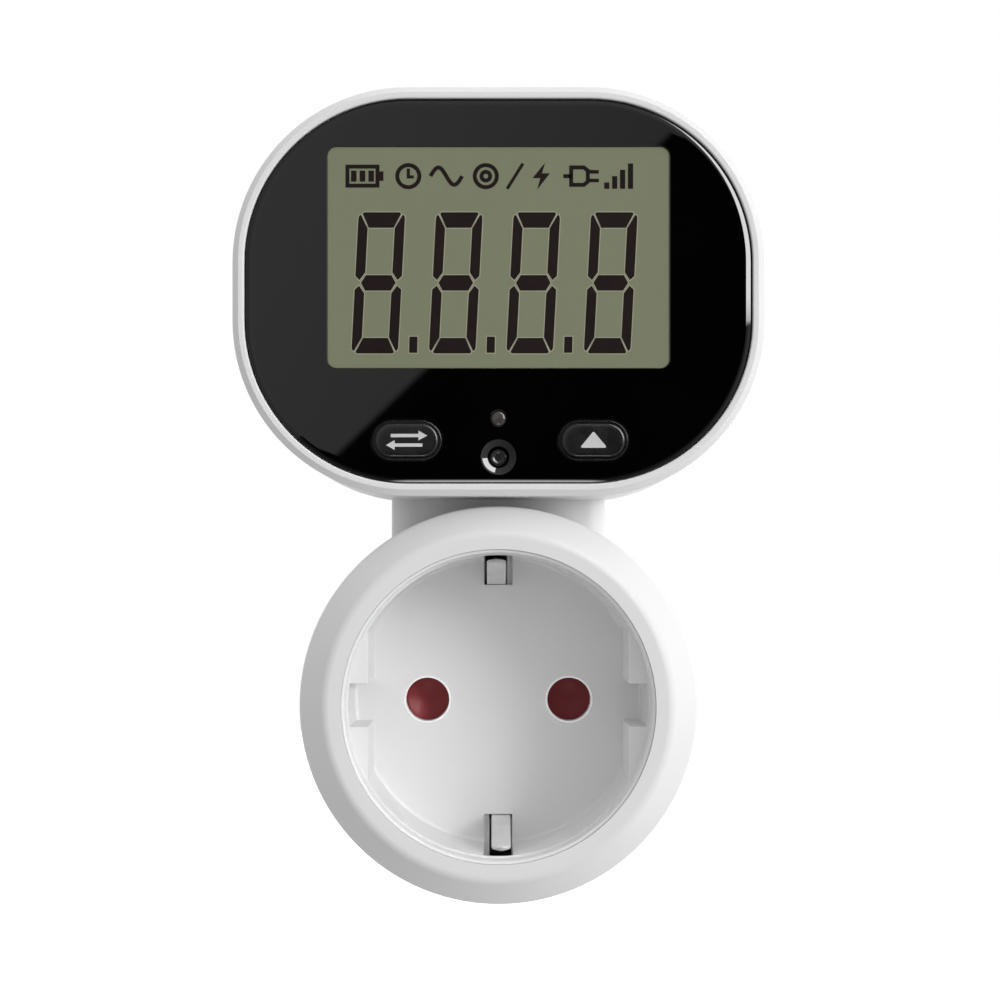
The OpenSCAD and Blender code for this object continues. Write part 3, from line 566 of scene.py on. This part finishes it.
def nose_outline(radius, flat, rib_w, rib_x):
    """Plug's nose: a circle with a flat on each side and a guide rib on each flat."""
    side = math.sqrt(radius ** 2 - flat ** 2)
    count = 24
    half = math.atan2(side, flat)
    top = [(radius * math.cos(a), radius * math.sin(a))
           for a in [half + (math.pi - 2 * half) * k / count for k in range(count + 1)]]
    left = [(-flat, rib_w / 2), (-rib_x, rib_w / 2), (-rib_x, -rib_w / 2), (-flat, -rib_w / 2)]
    bottom = [(-x, -z) for x, z in top]
    right = [(-x, -z) for x, z in left]
    return top + left + bottom + right


def pin_way(side):
    """Cutter for a pin's way out of the nose, which opens out at the nose's end."""
    radius, mouth = PIN_R + 0.25, PIN_R + 0.6
    return lathe("pin_way", [(0.5, -4), (radius, -4), (radius, -0.3), (mouth, 0.1), (mouth, 1), (0.5, 1)],
                 closed=False, steps=48, centre=(side * PIN_X, 0))


def screw_well(radius, seat, surface, x, z):
    """Cutter for a screw's well between its seat and a surface, with a chamfered mouth."""
    mouth = radius + 0.2
    return lathe("screw_well", [(0.5, seat), (radius, seat), (radius, surface - 0.2), (mouth, surface),
                                (mouth, surface + 1), (0.5, surface + 1)],
                 closed=False, steps=48, centre=(x, z))


def rear_shell():
    """White rear housing: the head's back, the stem's back, the collar's back and the plug's nose."""
    back, wall = HEAD_BACK, WALL_T
    head = around("head_back", HEAD_W, HEAD_H, HEAD_R, fillet([
        (-6, back - wall, 0), (-3.6, back - wall, 0.8), (-HEAD_WALL, back - 3.8, 0.8),
        (-HEAD_WALL, PARTING, 0.1), (0, PARTING, 0.15), (0, back - 2.4, 1.2), (-2.4, back, 1.2),
        (-6, back, 0),
    ]), (0, HEAD_Z), closed=False, steps=28)
    collar = lathe("collar_back", fillet([
        (COLLAR_R, PARTING, 0.15), (COLLAR_R, WALL, 1.0), (12, WALL, 0), (12, WALL - wall, 0),
        (COLLAR_R - wall, WALL - wall, 0.5), (COLLAR_R - wall, PARTING, 0.1),
    ]), steps=192)
    nose = prism("nose", nose_outline(NOSE_R, NOSE_FLAT, RIB_W, NOSE_R - 0.1), WALL - 1, 0)
    bevel(nose, 0.6, 4)
    inner_flat = NOSE_FLAT - wall
    inside = nose_outline(NOSE_R - wall, inner_flat, RIB_W, inner_flat + 0.1)
    hollow = prism("hollow", inside, WALL - wall - 1, -2.5)
    shell = carve(head, "UNION", collar, stem_half("stem_back", PARTING, HEAD_BACK, 1.2), nose)
    cutters = [hollow]
    groove_in, groove_out, groove_half = 17, 21, 3.8
    for side in (-1, 1):
        cutters.append(pin_way(side))
        low, high = sorted((side * groove_in, side * groove_out))
        groove = block("groove", (-groove_half, WALL - 1, low), (groove_half, -1.5, high))
        cutters.append(bevel(groove, 0.3, 2))
        cutters.append(screw_well(HEAD_WELL_R, HEAD_BACK - 1.9, HEAD_BACK, side * HEAD_POST_X, HEAD_Z))
    for x, z in COLLAR_SCREWS:
        cutters.append(screw_well(COLLAR_WELL_R, COLLAR_SEAT, WALL, x, z))
    shell = carve(shell, "DIFFERENCE", *cutters)
    head_post_r, collar_post_r, bore_r = 3.2, 2.9, 1.5
    posts = [post(head_post_r, bore_r, PARTING, HEAD_BACK - 1.95, side * HEAD_POST_X, HEAD_Z)
             for side in (-1, 1)]
    posts += [post(collar_post_r, bore_r, INSERT_HI.y, COLLAR_SEAT, x, z) for x, z in COLLAR_SCREWS]
    shell = join(shell, *posts)
    shell.name = "rear_shell_skin"
    return finish_piece(shell, MATERIALS["shell_white"], "shell_white", FIXED, "rear_shell")


# ---- face panel, keys and light ----


def flared(outline, y0, y1, chamfer):
    """Cutter with straight walls that opens out by a chamfer at its front."""
    profile = ((chamfer + 1, y0 - 1), (chamfer, y0), (0, y0 + chamfer), (0, y1 + 1))
    return loft("cutter", [[(x, y, z) for x, z in outline(grow)] for grow, y in profile])


def round_cutter(radius, y0, y1, chamfer, x, z):
    """Round cutter with straight walls that opens out by a chamfer at its front."""
    return lathe("cutter", [(radius + chamfer + 1, y0 - 1), (radius + chamfer, y0), (radius, y0 + chamfer),
                            (radius, y1 + 1)], closed=False, steps=64, centre=(x, z))


def window_outline(grow, steps):
    """Outline of the display's window, moved outwards by grow."""
    return rounded(WINDOW_W, WINDOW_H, WINDOW_R, grow, (0, WINDOW_Z), steps)


def key_outline(side, grow, steps):
    """Outline of the left (-1) or right (1) key's cap, moved outwards by grow."""
    return rounded(KEY_W, KEY_H, KEY_R, grow, (side * KEY_X + KEY_SHIFT, KEY_Z), steps)


def face_panel():
    """Polished black panel: bevelled edge, window, key slots, the light's hole and the reset key's dish."""
    y0, y1 = PANEL_LO.y, PANEL_HI.y
    panel = around("face_panel_skin", PANEL_W, PANEL_H, PANEL_R, [
        (-1.2, y0), (-0.74, y0), (-0.68, y0 + 0.01), (-0.36, y0 + 0.084), (-0.02, y0 + 0.2),
        (0, y0 + 0.3), (0, y1 - 0.1), (-0.1, y1), (-1.2, y1),
    ], (0, HEAD_Z), closed=False, steps=28)
    cutters = [flared(lambda grow: window_outline(grow, 6), y0, y1, 0.08)]
    for side in (-1, 1):
        cutters.append(flared(lambda grow: key_outline(side, KEY_SLIT + grow, 12), y0, y1, 0.15))
    light_hole_r = 1.05
    cutters.append(round_cutter(light_hole_r, y0, y1, 0.06, 0, PIPE_Z))
    cutters.append(lathe("dish", [(3.65, y0 - 1.4), (2.4, y0 - 0.15), (2.2, y0 + 0.03), (1.95, y0 + 0.15),
                                  (1.65, y0 + 0.29), (1.4, y0 + 0.41), (RESET_HOLE_R, y0 + 0.6),
                                  (RESET_HOLE_R, y1 + 1)],
                         closed=False, steps=96, centre=(0, RESET_Z)))
    carve(panel, "DIFFERENCE", *cutters)
    return finish_piece(panel, MATERIALS["panel_black"], "panel_black", FIXED, "face_panel", angle=20)


def film_sheet():
    """Matte film of the display, flush in the panel's window, with a soft edge."""
    y0, y1 = FILM_LO.y, FILM_HI.y
    profile = ((-0.02, y1), (-0.02, y0 + 0.06), (-0.04, y0 + 0.02), (-0.09, y0))
    film = loft("lcd_film_sheet", [[(x, y, z) for x, z in window_outline(grow, 8)] for grow, y in profile])
    finish_piece(film, MATERIALS["lcd_film"], "lcd_film", FIXED, "lcd_front_film")


def key_cap(side, body, name):
    """Push key: a cap with a crisp edge, a collar in the panel's slit and a lip behind the panel."""
    lip0, lip1, top = KEY_HI.y - 0.5, KEY_HI.y, KEY_LO.y
    level = PANEL_LO.y + 0.04
    lip = [(-1.2, lip1), (KEY_LIP, lip1), (KEY_LIP, lip0), (0.42, lip0)]
    collar = [(0.42, level + 0.2), (0.4, level + 0.1), (0.35, level + 0.03), (0.28, level),
              (0.24, level + 0.03), (0.22, level + 0.3), (0.02, level + 0.3)]
    crown = [(0, top + 0.42), (-0.03, top + 0.24), (-0.1, top + 0.11), (-0.2, top + 0.04),
             (-0.36, top + 0.01), (-0.6, top), (-1.2, top)]
    cap = loft(name + "_cap", [[(x, y, z) for x, z in key_outline(side, grow, 14)]
                               for grow, y in lip + collar + crown])
    return finish_piece(cap, MATERIALS["key_rubber"], "key_rubber", body, name)


def small_round_parts():
    """Reset key behind its hole and the light pipe's domed end."""
    y0, y1 = RESET_LO.y, RESET_HI.y
    button_r = 1.15
    button = lathe("reset_key_cap", fillet([
        (0.15, y0 + 0.12, 0), (0.5, y0 + 0.12, 0.1), (0.75, y0, 0.1), (button_r, y0, 0.25),
        (button_r, y1 - 0.5, 0.05), (RESET_HI.x, y1 - 0.5, 0.05), (RESET_HI.x, y1, 0.1), (0.15, y1, 0)], 4),
        closed=False, steps=64, centre=(0, RESET_Z))
    finish_piece(button, MATERIALS["key_rubber"], "key_rubber", "reset_button", "reset_key")
    top, end = PIPE_LO.y, PIPE_HI.y
    flange0, flange1 = PANEL_HI.y + 0.1, PANEL_HI.y + 0.9
    pipe = lathe("light_pipe_lens", [
        (0.05, top), (0.35, top + 0.015), (0.65, top + 0.06), (0.88, top + 0.14), (1.02, top + 0.3),
        (1.02, flange0), (PIPE_HI.x, flange0), (PIPE_HI.x, flange1), (1.0, flange1), (1.0, end),
        (0.05, end)], closed=False, steps=64, centre=(0, PIPE_Z))
    finish_piece(pipe, MATERIALS["pipe_clear"], "pipe_clear", FIXED, "light_pipe")


# ---- printed marks and display segments ----


def ribbon(points, width, y0, y1, closed=False):
    """Stroke of a width along points in X and Z, as a thin solid between two levels."""
    rings = []
    count = len(points)
    for i, point in enumerate(points):
        before = points[i - 1] if closed or i else point
        after = points[(i + 1) % count] if closed or i + 1 < count else point
        here, a, b = Vector(point), Vector(before), Vector(after)
        ways = [w.normalized() for w in (here - a, b - here) if w.length > 0]
        along = sum(ways, Vector((0, 0))).normalized()
        reach = width / 2 / max(0.4, along.dot(ways[0]))
        side = Vector((-along.y, along.x)) * reach
        left, right = here + side, here - side
        rings.append([(left.x, y0, left.y), (right.x, y0, right.y),
                      (right.x, y1, right.y), (left.x, y1, left.y)])
    return loft("stroke", rings, closed)


def circle_points(x, z, radius, count=32):
    """Points of a circle in X and Z."""
    return [(x + radius * math.cos(2 * math.pi * k / count), z + radius * math.sin(2 * math.pi * k / count))
            for k in range(count)]


def arrow(x, z, length, way, y0, y1):
    """Arrow that points along X, left or right."""
    head, half, stroke = 1.1, 0.62, 0.42
    tip = x + way * length / 2
    tail = x - way * length / 2
    neck = tip - way * head
    return prism("arrow", [(tip, z), (neck, z + half), (neck, z + stroke / 2), (tail, z + stroke / 2),
                           (tail, z - stroke / 2), (neck, z - stroke / 2), (neck, z - half)], y0, y1)


def key_legends():
    """Pale marks on the keys: two arrows for stepping through the readings, a triangle for up."""
    y1 = KEY_LO.y + 0.05
    y0 = KEY_LO.y - 0.02
    left, right = KEY_SHIFT - KEY_X, KEY_SHIFT + KEY_X
    length, shift, lift = 4.6, 0.3, 0.6
    swap = join(*[arrow(left + way * shift, KEY_Z + way * lift, length, way, y0, y1) for way in (1, -1)])
    swap.name = "mode_mark"
    finish_piece(swap, LEGEND, "shell_white", "mode_button")
    up = prism("up_mark", fillet([(right - 1.75, KEY_Z - 0.95, 0.15), (right + 1.75, KEY_Z - 0.95, 0.15),
                                  (right, KEY_Z + 1.15, 0.15)], 3), y0, y1)
    finish_piece(up, LEGEND, "shell_white", "up_button")


def digit_outlines():
    """Seven segments of an upright digit about its own centre, each a list of (x, z, corner radius)."""
    w, h = 2.95, 8.93
    tall, wide, gap = 1.97, 1.29, 0.095
    mid = tall / 2
    cap = [(-w + 0.32 + gap, h, 0.2), (w - 0.32 - gap, h, 0.2), (w - wide - gap, h - tall, 0),
           (-w + wide + gap, h - tall, 0)]
    upper = [(-w, h - 0.75, 0.3), (-w + 0.3 - gap, h - 0.1, 0.15), (-w + wide - 0.05, h - tall - gap, 0),
             (-w + wide - 0.05, mid + gap + 0.25, 0), (-w + 0.55, 0.35, 0), (-w, 0.85, 0.1)]
    middle = [(-2.2, 0, 0), (-1.62, mid, 0), (1.62, mid, 0), (2.2, 0, 0), (1.62, -mid, 0), (-1.62, -mid, 0)]
    turned = [(-x, z, r) for x, z, r in upper]
    lower = [[(x, -z, r) for x, z, r in shape] for shape in (cap, upper, turned)]
    return [cap, upper, turned, middle] + lower


def spread(outline, distance):
    """Convex outline moved outwards by a distance."""
    points = [Vector(p) for p in outline]
    area = sum(a.x * b.y - b.x * a.y for a, b in zip(points, points[1:] + points[:1]))
    sign = 1 if area > 0 else -1
    out = []
    for i, here in enumerate(points):
        a = (here - points[i - 1]).normalized()
        b = (points[(i + 1) % len(points)] - here).normalized()
        na, nb = Vector((a.y, -a.x)) * sign, Vector((b.y, -b.x)) * sign
        move = (na + nb) / max(0.5, 1 + na.dot(nb))
        out.append(tuple(here + move * distance))
    return out


def icons(y0, y1):
    """Row of plain symbols at the display's top: battery, clock, wave, coin, slash, bolt, plug and bars."""
    z, x0 = WINDOW_Z + 10.3, -17.0
    stroke, thin = 0.5, 0.4
    parts = []

    def line(points, closed=False, width=stroke):
        parts.append(ribbon([(x + a, z + b) for a, b in points], width, y0, y1, closed))

    def solid(points):
        parts.append(prism("solid", [(x + a, z + b) for a, b in points], y0, y1))

    def ring(radius, a=0.0, b=0.0):
        parts.append(ribbon(circle_points(x + a, z + b, radius), stroke, y0, y1, True))

    def bar(a, b, w, h):
        left, right, low, high = a - w / 2, a + w / 2, b - h / 2, b + h / 2
        solid([(left, low), (right, low), (right, high), (left, high)])

    x = x0
    line([(-2.1, -1.2), (1.7, -1.2), (1.7, 1.2), (-2.1, 1.2)], True)
    bar(2.2, 0, 0.5, 1.2)
    for k in range(3):
        bar(-1.3 + 1.1 * k, 0, 0.7, 1.4)
    x = x0 + 5.6
    ring(1.4)
    line([(0, 0.95), (0, -0.1), (0.7, -0.1)], width=thin)
    x = x0 + 10.4
    line([(-2.0 + 0.2 * k, 1.1 * math.sin(2 * math.pi * k / 20)) for k in range(21)])
    x = x0 + 15.4
    ring(1.4)
    ring(0.55)
    x = x0 + 19.1
    line([(-1.0, -1.6), (1.0, 1.6)], width=thin)
    x = x0 + 22.4
    solid([(0.5, 1.7), (-1.1, -0.25), (-0.1, -0.25), (-0.5, -1.7), (1.1, 0.35), (0.1, 0.35)])
    x = x0 + 27.4
    line([(-2.2, 0), (-1.2, 0)])
    line([(-1.2, -1.1), (0.4, -1.1), (0.9, -0.7), (0.9, 0.7), (0.4, 1.1), (-1.2, 1.1)], True)
    for side in (-1, 1):
        bar(1.7, side * 0.55, 1.2, 0.45)
    x = x0 + 32.2
    for k in range(4):
        tall = 0.8 + 0.8 * k
        bar(-1.5 + 1.0 * k, tall / 2 - 1.6, 0.65, tall)
    return parts


def display_marks():
    """Every segment of the display, shown dark, with the faint pale edge that surrounds each one."""
    slant = math.tan(math.radians(3))
    base = WINDOW_Z - 3.2
    film = FILM_LO.y
    digits, first_x, pitch = 4, -15.2, 9.8
    dot_x, dot_z, edge = 4.4, 7.85, 0.11
    dot = [(-0.52, -1.0), (0.52, -1.0), (0.57, 1.05), (-0.47, 1.05)]
    shapes = []
    for k in range(digits):
        x0 = first_x + pitch * k
        for outline in digit_outlines():
            shapes.append([(x0 + x + slant * z, base + z) for x, z in fillet(outline, 3)])
        if k < digits - 1:
            shapes.append([(x0 + dot_x + x, base - dot_z + z) for x, z in dot])
    dark = [prism("dark", shape, film - 0.02, film + 0.05) for shape in shapes]
    dark += icons(film - 0.02, film + 0.05)
    pale = [prism("pale", spread(shape, edge), film - 0.01, film + 0.04) for shape in shapes]
    for parts, name, material, slot in ((dark, "display_segments", SEGMENT, "frame_plastic"),
                                        (pale, "segment_edges", SEGMENT_EDGE, "lcd_film")):
        piece = join(*parts)
        piece.name = name
        finish_piece(piece, material, slot, FIXED)


# ---- socket ----


def guide_block(side_x, side_z):
    """One of the four blocks that guide the plug: flat towards the middle, round against the well."""
    notch = 2.75
    reach = WELL_R - WELL_STEP + 0.3
    low = math.atan2(notch, WELL_R - WELL_STEP)
    high = math.acos(GUIDE_X / reach)
    count = 12
    arc = [(reach * math.cos(a), reach * math.sin(a))
           for a in [high + (low - high) * k / count for k in range(count + 1)]]
    outline = [(side_x * x, side_z * z) for x, z in [(GUIDE_X, notch)] + arc]
    return bevel(prism("guide", outline, FRONT + 4, FLOOR + 0.3), 0.22, 3)


def pin_hole_lips():
    """Thin raised lip around each pin hole, in a paler white that glows faintly: a painted highlight."""
    inner, outer, height = HOLE_R + 0.03, HOLE_R + 0.25, 0.1
    profile = [(inner, FLOOR + 0.05), (inner, FLOOR - 0.05), (HOLE_R + 0.08, FLOOR - height),
               (HOLE_R + 0.19, FLOOR - height), (outer, FLOOR - 0.03), (outer, FLOOR + 0.05)]
    lips = join(*[lathe("lip", profile, steps=96, centre=(side * PIN_X, 0)) for side in (-1, 1)])
    lips.name = "pin_hole_lips"
    # The lips get the paler, faintly glowing material: a painted highlight.
    finish_piece(lips, PIN_LIP_PAINTED_GLOW, "insert_white", FIXED)


def socket_insert():
    """White cup of the socket: well, floor, four guides, pin holes and the slots for the earth clips."""
    front, back, floor = INSERT_LO.y, INSERT_HI.y, FLOOR
    out = INSERT_HI.x
    deep = WELL_R - WELL_STEP
    mouth = WELL_R + 0.42
    entry = FRONT + 3.5
    cup = lathe("socket_insert_skin", fillet([
        (1, floor, 0), (deep, floor, 0.5), (deep, entry, 0), (WELL_R, entry, 0), (WELL_R, front, 0.38),
        (mouth, front, 0.03), (mouth, FRONT + 2, 0), (out, FRONT + 2, 0.1), (out, back, 0.2),
        (1, back, 0)], 5), closed=False, steps=192)
    carve(cup, "UNION", *[guide_block(side_x, side_z) for side_x in (-1, 1) for side_z in (-1, 1)])
    cutters = []
    slot_in, slot_out, slot_half, way_half, way_shift = 15.4, 23, 1.9, 1.5, -0.3
    for side in (-1, 1):
        cutters.append(round_cutter(HOLE_R, floor, back, 0.1, side * PIN_X, 0))
        low, high = sorted((side * slot_in, side * slot_out))
        cutters.append(block("slot", (-slot_half, FRONT + 3.6, low), (slot_half, floor + 0.8, high)))
        middle = side * way_shift
        cutters.append(block("way", (middle - way_half, floor, low), (middle + way_half, back + 1, high)))
    carve(cup, "DIFFERENCE", *cutters)
    post_r, bore_r = 2, 0.85
    cup = join(cup, post(post_r, bore_r, back - 0.3, back + 4.4, 0, 0))
    return finish_piece(cup, MATERIALS["insert_white"], "insert_white", FIXED, "socket_insert", angle=28)


def earth_clip(name, centre_x, side):
    """Spring strip that bends forward out of its slot, with a rounded tip."""
    y_root, y_tip = CLIP_HI.y, CLIP_LO.y
    low, high = CLIP_LO.z, CLIP_HI.z - 0.5
    half, thick, tip_r = 1.25, 0.5, 1.1
    bends = [(y_root, low + 1.0), (FLOOR + 5, low + 1.0), (FLOOR + 1, low), (FLOOR - 2.5, low),
             (y_tip, high)]
    path = []
    for a, b in zip(bends, bends[1:]):
        count = 12 if b is bends[-1] else 3
        path += [Vector(a).lerp(Vector(b), k / count) for k in range(count)]
    last, before = Vector(bends[-1]), Vector(bends[-2])
    way = (last - before).normalized()
    path = [p for p in path if (p - last).length > tip_r]
    path += [last - way * tip_r * (1 - math.sin(math.pi / 2 * k / 6)) for k in range(7)]
    rings = []
    for i, point in enumerate(path):
        along = (path[min(i + 1, len(path) - 1)] - path[max(i - 1, 0)]).normalized()
        normal = Vector((-along.y, along.x))
        if normal.y < 0:
            normal = -normal
        left = (last - point).length
        width = half if left >= tip_r else half * math.sqrt(max(0.02, 1 - (1 - left / tip_r) ** 2))
        edge = 0.1 if width > 0.3 else 0.02
        section = fillet([(-width, 0, edge), (width, 0, edge), (width, thick, edge),
                          (-width, thick, edge)], 2)
        places = [(x, point + normal * t) for x, t in section]
        rings.append([(centre_x + x, place.x, side * place.y) for x, place in places])
    clip = loft(name + "_strip", rings)
    return finish_piece(clip, MATERIALS["earth_steel"], "earth_steel", name, name)


# ---- back: pins and screws ----


def plug_pin(name, side):
    """Nickel-plated pin with a rounded end, its shoulder and its collar inside the plug."""
    foot, tip = PIN_LO.y, PIN_HI.y
    foot_r, shank_r, collar_r, root = 2.1, 1.4, 3.3, PIN_R + 0.2
    collar = PIN_COLLAR
    pin = lathe(name + "_body", fillet([
        (0.3, foot, 0), (foot_r, foot, 0.2), (foot_r, foot + 0.6, 0), (shank_r, foot + 0.6, 0),
        (shank_r, collar, 0), (collar_r, collar, 0.2), (collar_r, collar + 1.6, 0.2),
        (root, collar + 1.6, 0), (root, 0, 0.08), (PIN_R, 0, 0), (PIN_R, tip, 1.7), (0.3, tip, 0)], 8),
        closed=False, steps=64, centre=(side * PIN_X, 0))
    return finish_piece(pin, MATERIALS["pin_nickel"], "pin_nickel", FIXED, name, angle=40)


def pan_head_screw(x, z, head_r, head_t, shank_r, seat, end):
    """Screw with a domed head and a cross recess, its head towards +Y."""
    top = seat + head_t
    screw = lathe("screw", fillet([
        (0.2, end, 0), (shank_r * 0.6, end, 0), (shank_r, end + 1, 0), (shank_r, seat, 0),
        (head_r, seat, 0.1), (head_r, seat + head_t * 0.75, 0.4), (head_r * 0.6, top, 0.8),
        (0.2, top, 0)], 5),
        closed=False, steps=48, centre=(x, z))
    arm, half = head_r * 0.55, head_r * 0.13
    cross = [(arm, half), (half, half), (half, arm)]
    outline = []
    for turn in range(4):
        a = math.pi / 2 * turn
        outline += [(px * math.cos(a) - pz * math.sin(a), px * math.sin(a) + pz * math.cos(a))
                    for px, pz in cross]
    rings = [[(x + px * s, y, z + pz * s) for px, pz in outline]
             for s, y in ((0.35, top - head_t * 0.7), (1.0, top - 0.1), (1.1, top + 0.5))]
    return carve(screw, "DIFFERENCE", loft("recess", rings))


def rear_screws():
    """Two screws of the head and four of the round body."""
    shank_r = 1.2
    seat, end = HEAD_SCREW_HI.y - HEAD_SCREW_T, HEAD_SCREW_LO.y
    heads = [pan_head_screw(side * HEAD_POST_X, HEAD_Z, HEAD_SCREW_R, HEAD_SCREW_T, shank_r, seat, end)
             for side in (-1, 1)]
    shank_r = 0.95
    seat, end = COLLAR_SCREW_HI.y - COLLAR_SCREW_T, COLLAR_SCREW_LO.y
    collars = [pan_head_screw(x, z, COLLAR_SCREW_R, COLLAR_SCREW_T, shank_r, seat, end)
               for x, z in COLLAR_SCREWS]
    for parts, node in ((heads, "head_screws"), (collars, "collar_screws")):
        piece = join(*parts)
        piece.name = node + "_set"
        finish_piece(piece, MATERIALS["screw_steel"], "screw_steel", FIXED, node)


front_shell()
rear_shell()
face_panel()
film_sheet()
key_cap(-1, "mode_button", "mode_key")
key_cap(1, "up_button", "up_key")
small_round_parts()
key_legends()
display_marks()
socket_insert()
pin_hole_lips()
earth_clip("upper_earth_clip", -0.25, 1)
earth_clip("lower_earth_clip", 0.35, -1)
plug_pin("line_pin", -1)
plug_pin("neutral_pin", 1)
rear_screws()


# ---- floor, light and camera ----

# Soft light on surfaces: even surroundings, brighter along SKY_TILT, and one lobe from the upper right
SKY_LEVEL = 0.85
SKY_TILT = (0.29, 0.28, 0.19)
KEY_WAY = (0.72, -0.64, 0.25)
KEY_ANGLES = (7.0, 14.0)
KEY_LEVEL = 9.6

# What polished surfaces mirror: a softbox, a low lamp (direction, two angles, level) and a pale sheet
BOX_LEVEL = 16.0
LOW_LAMP = ((0, -0.80, -0.60), 3.0, 8.0, 9.0)
SHEET_TURN = 43.9
SHEET_OFFSET = 0.089
SHEET_LEVEL = 0.85

# Camera: focal length, distance in front of the object, place across and up, and shift of the picture
LENS, SENSOR = 77.83, 36
CAMERA_DISTANCE = 273
CAMERA_X, CAMERA_Z = -0.44, 16.7
CAMERA_SHIFT = (0.005, 0.075)


def floor():
    """Pale studio floor, well below the object so that no shadow reaches it."""
    size, level = 1500, SHELL_LO.z - 90
    obj = new_object("studio_floor", [(-size, -size, level), (size, -size, level), (size, size, level),
                                      (-size, size, level)], [(0, 1, 2, 3)])
    made = Shader("studio_floor", Roughness=0.9, Emission_Color=(1, 1, 1, 1), Emission_Strength=0.35)
    pale, paler = (0.93, 0.93, 0.93), (0.95, 0.95, 0.95)
    made.feed(Base_Color=made.colours(made.noise(0.01, 2), (0.3, pale), (0.7, paler)))
    obj.data.materials.append(made.material)
    obj.visible_diffuse = obj.visible_glossy = False


def sky():
    """White surroundings: soft light on surfaces, and a dark place behind the camera in reflections."""
    world = bpy.data.worlds.new("studio")
    bpy.context.scene.world = world
    world.use_nodes = True
    tree = world.node_tree
    tree.nodes.clear()

    def math_node(operation, a, b=None):
        """Math node fed with numbers or with other nodes' outputs."""
        made = tree.nodes.new("ShaderNodeMath")
        made.operation = operation
        for socket, value in zip(made.inputs, (a, b)):
            if isinstance(value, (int, float)):
                socket.default_value = value
            elif value is not None:
                tree.links.new(value, socket)
        return made.outputs[0]

    def along(x, y, z):
        """How far a direction points along a vector."""
        made = tree.nodes.new("ShaderNodeVectorMath")
        made.operation = "DOT_PRODUCT"
        tree.links.new(place, made.inputs[0])
        made.inputs[1].default_value = (x, y, z)
        return made.outputs["Value"]

    def ramp(value, start, end, low=0.0, high=1.0):
        """Smooth rise or fall from low to high while the value goes from start to end."""
        made = tree.nodes.new("ShaderNodeMapRange")
        made.interpolation_type = "SMOOTHSTEP"
        tree.links.new(value, made.inputs["Value"])
        for key, number in zip(("From Min", "From Max", "To Min", "To Max"), (start, end, low, high)):
            made.inputs[key].default_value = number
        return made.outputs["Result"]

    def lobe(direction, inner, outer, strength):
        """Round light in a direction, fading out between two angles in degrees."""
        way = Vector(direction).normalized()
        start, end = math.cos(math.radians(outer)), math.cos(math.radians(inner))
        return ramp(along(*way), start, end, 0.0, strength)

    place = tree.nodes.new("ShaderNodeTexCoord").outputs["Generated"]
    path = tree.nodes.new("ShaderNodeLightPath").outputs
    around_all = math_node("MAXIMUM", math_node("ADD", along(*SKY_TILT), SKY_LEVEL), 0.02)
    key = lobe(KEY_WAY, *KEY_ANGLES, KEY_LEVEL)
    soft = math_node("ADD", around_all, key)

    # Reflections: the surroundings fade out behind the camera, where only the pale sheet shows
    front = ramp(along(0, -1, 0), 0.93, 0.72, 0.0, 1.0)
    turn = math.radians(SHEET_TURN)
    sheet_edge = math_node("SUBTRACT", along(-math.sin(turn), 0, math.cos(turn)),
                           math_node("MULTIPLY", along(0, -1, 0), SHEET_OFFSET))
    fall = ramp(along(-0.6, -0.75, 0.4), 0.6, 1.0, 0.3, SHEET_LEVEL)
    sheet = math_node("MULTIPLY", ramp(sheet_edge, 0.0, 0.004), fall)

    # Softbox at the upper right: bounded below, on the left, near the camera's axis and to the sides
    box = math_node("MULTIPLY", ramp(along(0, 0, 1), 0.095, 0.13), ramp(along(1, 0, 0), 0.16, 0.2))
    box = math_node("MULTIPLY", box, ramp(along(0, -2.44, 1), 2.28, 2.33, 1.0, 0.0))
    box = math_node("MULTIPLY", box, ramp(along(0, -1, 0), 0.53, 0.57, 0.0, BOX_LEVEL))
    lamps = math_node("ADD", box, lobe(*LOW_LAMP))
    gloss = math_node("ADD", math_node("MULTIPLY", around_all, front), lamps)
    gloss = math_node("ADD", gloss, math_node("MULTIPLY", sheet, math_node("SUBTRACT", 1.0, front)))

    # Glossy rays see the reflections, other rays the soft light, and the camera plain white
    glossy, seen = path["Is Glossy Ray"], path["Is Camera Ray"]
    level = math_node("ADD", math_node("MULTIPLY", soft, math_node("SUBTRACT", 1.0, glossy)),
                      math_node("MULTIPLY", gloss, glossy))
    level = math_node("ADD", math_node("MULTIPLY", level, math_node("SUBTRACT", 1.0, seen)), seen)
    background = tree.nodes.new("ShaderNodeBackground")
    background.inputs["Color"].default_value = (1, 1, 1, 1)
    tree.links.new(level, background.inputs["Strength"])
    output = tree.nodes.new("ShaderNodeOutputWorld")
    tree.links.new(background.outputs[0], output.inputs["Surface"])


def camera():
    """Camera in front of the object, level with the upper part of the socket."""
    data = bpy.data.cameras.new("camera")
    data.lens, data.sensor_width = LENS, SENSOR
    data.shift_x, data.shift_y = CAMERA_SHIFT
    data.clip_start, data.clip_end = 0.01, 50
    view = bpy.data.objects.new("camera", data)
    bpy.context.scene.collection.objects.link(view)
    view.location = (CAMERA_X * MM, (FRONT - CAMERA_DISTANCE) * MM, CAMERA_Z * MM)
    view.rotation_euler = (math.pi / 2, 0, 0)
    bpy.context.scene.camera = view


floor()
sky()
camera()
bpy.context.scene.view_settings.view_transform = "Standard"
